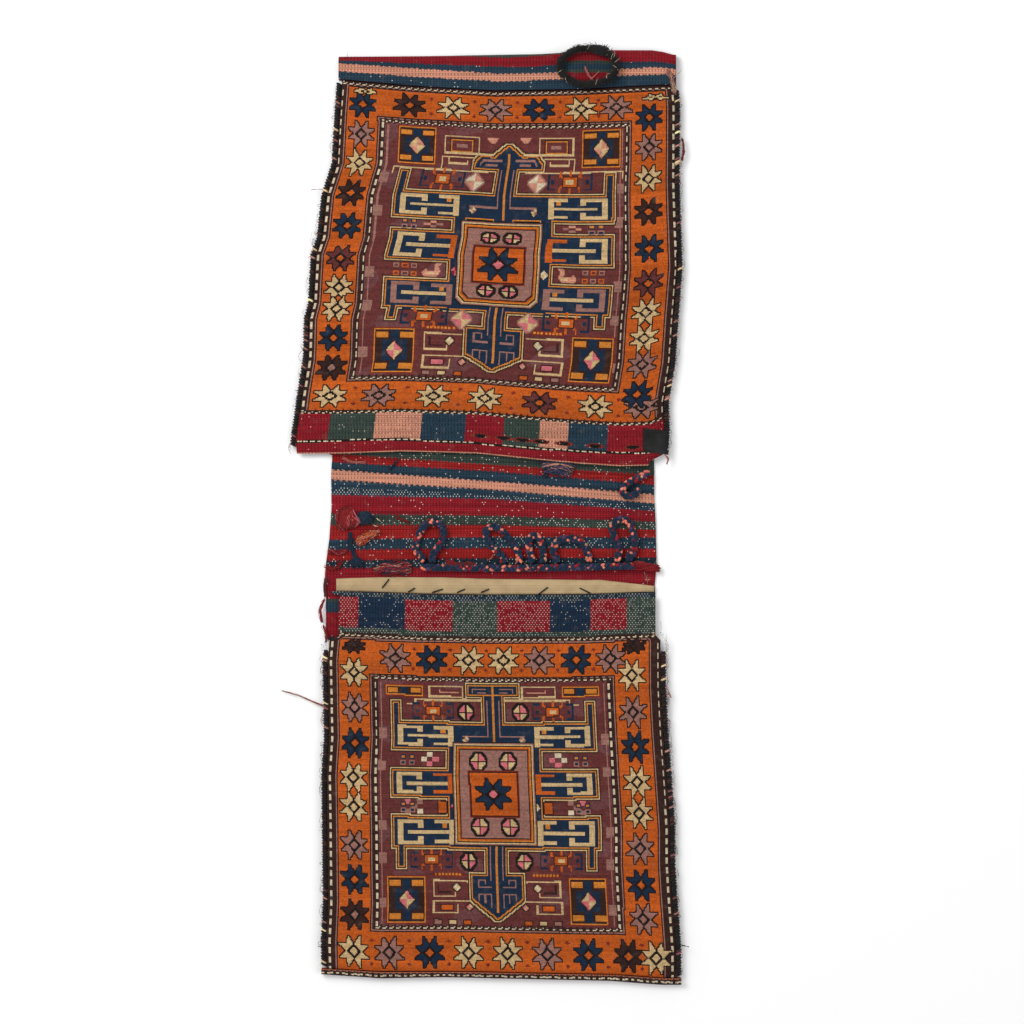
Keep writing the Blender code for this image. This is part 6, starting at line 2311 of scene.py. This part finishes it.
@dataclass(frozen=True)
class PlainCloth:
    """Undyed or black plain cloth.

    Args:
        name: the material's name.
        colour, shade: its linear colour, and that of its darker places.
        pitch: from thread to thread, in millimetres.
    """

    name: str
    colour: tuple[float, float, float]
    shade: tuple[float, float, float]
    pitch: float = 1.3

    def material(self, groups: dict[str, bpy.types.NodeTree]) -> bpy.types.Material:
        """Builds the material.

        Args:
            groups: the shader groups, by name.

        Returns:
            The material.
        """
        made, net, threads = new_material(self.name)
        plain = net.node("ShaderNodeGroup", node_tree=groups["kilim"],
                         inputs={"Threads": threads, "Warp pitch": self.pitch, "Weft pitch": self.pitch * 0.8,
                                 "Bare": 0.0})
        cloud = net.smooth(net.noise(threads, 0.05, 5), 0.35, 0.7)
        base = net.mix(cloud, (*self.colour, 1.0), (*self.shade, 1.0))
        # This group also paints shade into the colour: darker where the weave lies low, lighter on its crowns
        aged_and_shaded = net.node("ShaderNodeGroup", node_tree=groups["age"],
                        inputs={"Colour": base, "Threads": threads, "Height": plain.outputs[0],
                                "Tone": plain.outputs[2], "Abrash": 0.2, "Wear": 0.05})
        dress_wool(made, aged_and_shaded.outputs[0], (plain.outputs[0], 0.0003, 0.7), 0.9, 0.05)
        return made


@dataclass
class Studio:
    """A plain pale floor, soft light and the camera straight above."""

    aim: tuple[float, float] = (0.0345, 0.0048)
    height: float = 3.851
    lens: float = 100.0

    def camera(self) -> None:
        """Sets the camera over the bag, as the photograph has it."""
        data = bpy.data.cameras.new("camera")
        data.lens, data.sensor_width = self.lens, 36.0
        data.clip_start, data.clip_end = 0.05, 50
        camera = bpy.data.objects.new("camera", data)
        camera.location = (*self.aim, self.height)
        bpy.context.scene.collection.objects.link(camera)
        bpy.context.scene.camera = camera

    def floor(self) -> None:
        """A white floor that keeps the soft shadow."""
        deselect()
        bpy.ops.mesh.primitive_plane_add(size=12, location=(0, 0, -0.0004))
        floor = bpy.context.active_object
        floor.name = "studio_floor"
        made = bpy.data.materials.new("white paper")
        made.use_nodes = True
        shader = made.node_tree.nodes["Principled BSDF"]
        shader.inputs["Base Color"].default_value = (0.93, 0.93, 0.93, 1)
        shader.inputs["Roughness"].default_value = 0.9
        shader.inputs["Specular IOR Level"].default_value = 0.0
        floor.data.materials.append(made)

    def lamp(self, name: str, place: Point, size: float, power: float) -> None:
        """A soft square lamp that looks at the bag.

        Args:
            name: its name.
            place: where it hangs, in metres.
            size: its side, in metres.
            power: in watts.
        """
        data = bpy.data.lights.new(name, "AREA")
        data.size, data.energy = size, power
        lamp = bpy.data.objects.new(name, data)
        lamp.location = place
        lamp.rotation_euler = (-Vector(place)).to_track_quat("-Z", "Y").to_euler()
        bpy.context.scene.collection.objects.link(lamp)

    def light(self) -> None:
        """A big soft lamp from the upper left, a fill from the right and an even sky."""
        self.lamp("window", (-1.7, 1.5, 2.6), 1.8, 78)
        self.lamp("fill", (2.2, -1.2, 2.6), 2.4, 22)
        world = bpy.data.worlds.new("room")
        bpy.context.scene.world = world
        world.use_nodes = True
        net = Net(world.node_tree)
        path = net.node("ShaderNodeLightPath")
        seen = net.math("MAXIMUM", path.outputs["Is Camera Ray"], path.outputs["Is Glossy Ray"])
        seen = net.math("MAXIMUM", seen, path.outputs["Is Transmission Ray"])
        back = world.node_tree.nodes["Background"]
        strength = net.plus(0.62, net.times(seen, 0.38))
        back.inputs["Color"].default_value = (1, 1, 1, 1)
        world.node_tree.links.new(strength, back.inputs["Strength"])
        bpy.context.scene.view_settings.view_transform = "Standard"


def settle(piece: bpy.types.Object, material: bpy.types.Material, slot: str, *nodes: str) -> bpy.types.Object:
    """Dresses a finished piece and hangs it on the frame.

    Args:
        piece: the object.
        material: its finish.
        slot: not used.
        nodes: the nodes it stands for.

    Returns:
        The piece.
    """
    piece.data.materials.clear()
    piece.data.materials.append(material)
    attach(piece, "root")
    if nodes:
        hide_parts(*nodes)
    log.info("%s: %d faces", piece.name, len(piece.data.polygons))
    return piece


def make_cords(yarn: bpy.types.Material) -> None:
    """The plaited cords.

    Args:
        yarn: their finish.
    """
    for number, braid in enumerate(braids()):
        piece = settle(braid.plait(100 + number), yarn, "braid_wool", braid.node)
        line = braid.line(0.011)
        braid.line(0.003).tolist()


def pocket_faces() -> list[PocketFace]:
    """Both worked faces.

    Returns:
        The upper face, then the lower one.
    """
    inset = PLAN.seam + PLAN.clearance
    upper = Panel(PLAN.upper_mouth, PLAN.upper_lip, PLAN.top_end - PLAN.top_fold - PLAN.split_gap,
                  PLAN.top_split, inset)
    lower = Panel(-PLAN.top_end + PLAN.bottom_fold + PLAN.split_gap, PLAN.bottom_split, PLAN.lower_mouth,
                  PLAN.lower_lip, inset)
    upper_figure = HookedFigure(FigureLevels(52.0, ((27.6, 35.6), (43.0, 52.4), (62.4, 71.0)), (17.2, 26.0),
                                             (38.4, 69.6), (73.6, 78.4), 78.6, 89.6, 97.5, True))
    lower_figure = HookedFigure(FigureLevels(50.0, ((18.6, 26.7), (37.5, 46.1), (56.4, 66.4)), (8.2, 17.6),
                                             (26.4, 65.4), (68.6, 77.2), 77.4, 88.0, 98.4, False))
    upper_squares = ((Dye.RED, 0.096), (Dye.MOSS, 0.218), (Dye.SALMON, 0.340), (Dye.BLUE, 0.460),
                     (Dye.RED, 0.560), (Dye.MOSS, 0.655), (Dye.SALMON, 0.732), (Dye.BLUE, 0.835),
                     (Dye.RED, 1.1))
    lower_squares = ((Dye.RED, 0.075), (Dye.NAVY, 0.220), (Dye.RED, 0.362), (Dye.MOSS, 0.503),
                     (Dye.RED, 0.658), (Dye.NAVY, 0.786), (Dye.RED, 0.892), (Dye.MOSS, 1.1))
    slits = (0.500, 0.562, 0.612, 0.660, 0.722, 0.805, 0.905)
    return [PocketFace("upper_face", "upper_pocket_face", True, upper, UPPER_BORDER, upper_figure,
                       upper_squares, slits),
            PocketFace("lower_face", "lower_pocket_face", False, lower, LOWER_BORDER, lower_figure,
                       lower_squares)]


def main() -> None:
    """Builds and dresses every piece."""
    logging.basicConfig(level=logging.INFO, format="%(message)s")
    studio = Studio()
    studio.camera()
    groups = {"kilim": kilim_group(), "wrapped": wrapped_group(), "age": age_and_shade_group()}
    yarn = SpunYarn("braid wool").material()
    make_cords(yarn)
    wool = WovenWool("worked wool").material(groups)
    kilim = WovenWool("striped wool", 0.45, 0.10, 0.0006).material(groups)
    for face in pocket_faces():
        piece = settle(face.weave(), wool, "face_wool", face.node)
    back = settle(StripedBack().weave(), kilim, "kilim_wool", "striped_back_and_bridge")
    top = ((Dye.BLUE, (0.375, 0.285, 0.35)), (Dye.SALMON, (0.734, 0.505, 0.56)),
           (Dye.BLUE, (0.88, 0.725, 0.74)), (Dye.RED, (1.3, 1.0, 1.25)), (Dye.MOSS, (1.5, 1.3, 1.45)))
    bottom = ((Dye.ORANGE, (0.10, 0.10, 0.10)), (Dye.MAUVE, (0.18, 0.18, 0.18)),
              (Dye.BROWN, (0.95, 0.95, 0.80)), (Dye.BLUE, (1.3, 1.3, 1.3)))
    for fold in (EndFold("top_fold", "top_end_fold", True, top),
                 EndFold("bottom_fold", "bottom_end_fold", False, bottom, rows=30)):
        piece = settle(fold.weave(), kilim, "kilim_wool", fold.node)
    hair = SpunYarn("goat hair", 1.6, 0.7).material()
    for upper in (True, False):
        for right in (False, True):
            node = f"{'upper' if upper else 'lower'}_seam_{'right' if right else 'left'}"
            seam = SideSeam(f"{node}_stitches", node, upper, right)
            settle(seam.sew(), hair, "goat_hair", node)
    cotton = PlainCloth("cotton tape", Dye.COTTON.value, (0.52, 0.37, 0.20)).material(groups)
    tape = MouthTape()
    piece = settle(tape.weave(), cotton, "cotton_tape", "mouth_tape")
    settle(tape.stitches(), hair, "goat_hair")
    black = PlainCloth("black cloth", (0.014, 0.014, 0.015), (0.030, 0.029, 0.030), 0.9).material(groups)
    patch = CornerPatch()
    piece = settle(patch.weave(), black, "black_cloth", "corner_patch")
    loose = SpunYarn("loose wool", 0.5, 0.9).material()
    for number, tuft in enumerate(TUFTS):
        lead = tuft.name.split("_")[0]
        slot = f"{lead}_wool" if lead in ("purple", "salmon") else "red_wool"
        settle(tuft.comb(130 + number), loose, slot, tuft.node)
    ring = HairRing()
    settle(ring.wrap(), hair, "goat_hair", ring.node)
    settle(loose_wool(), loose, "red_wool")
    studio.floor()
    studio.light()


if __name__ == "__main__":
    main()
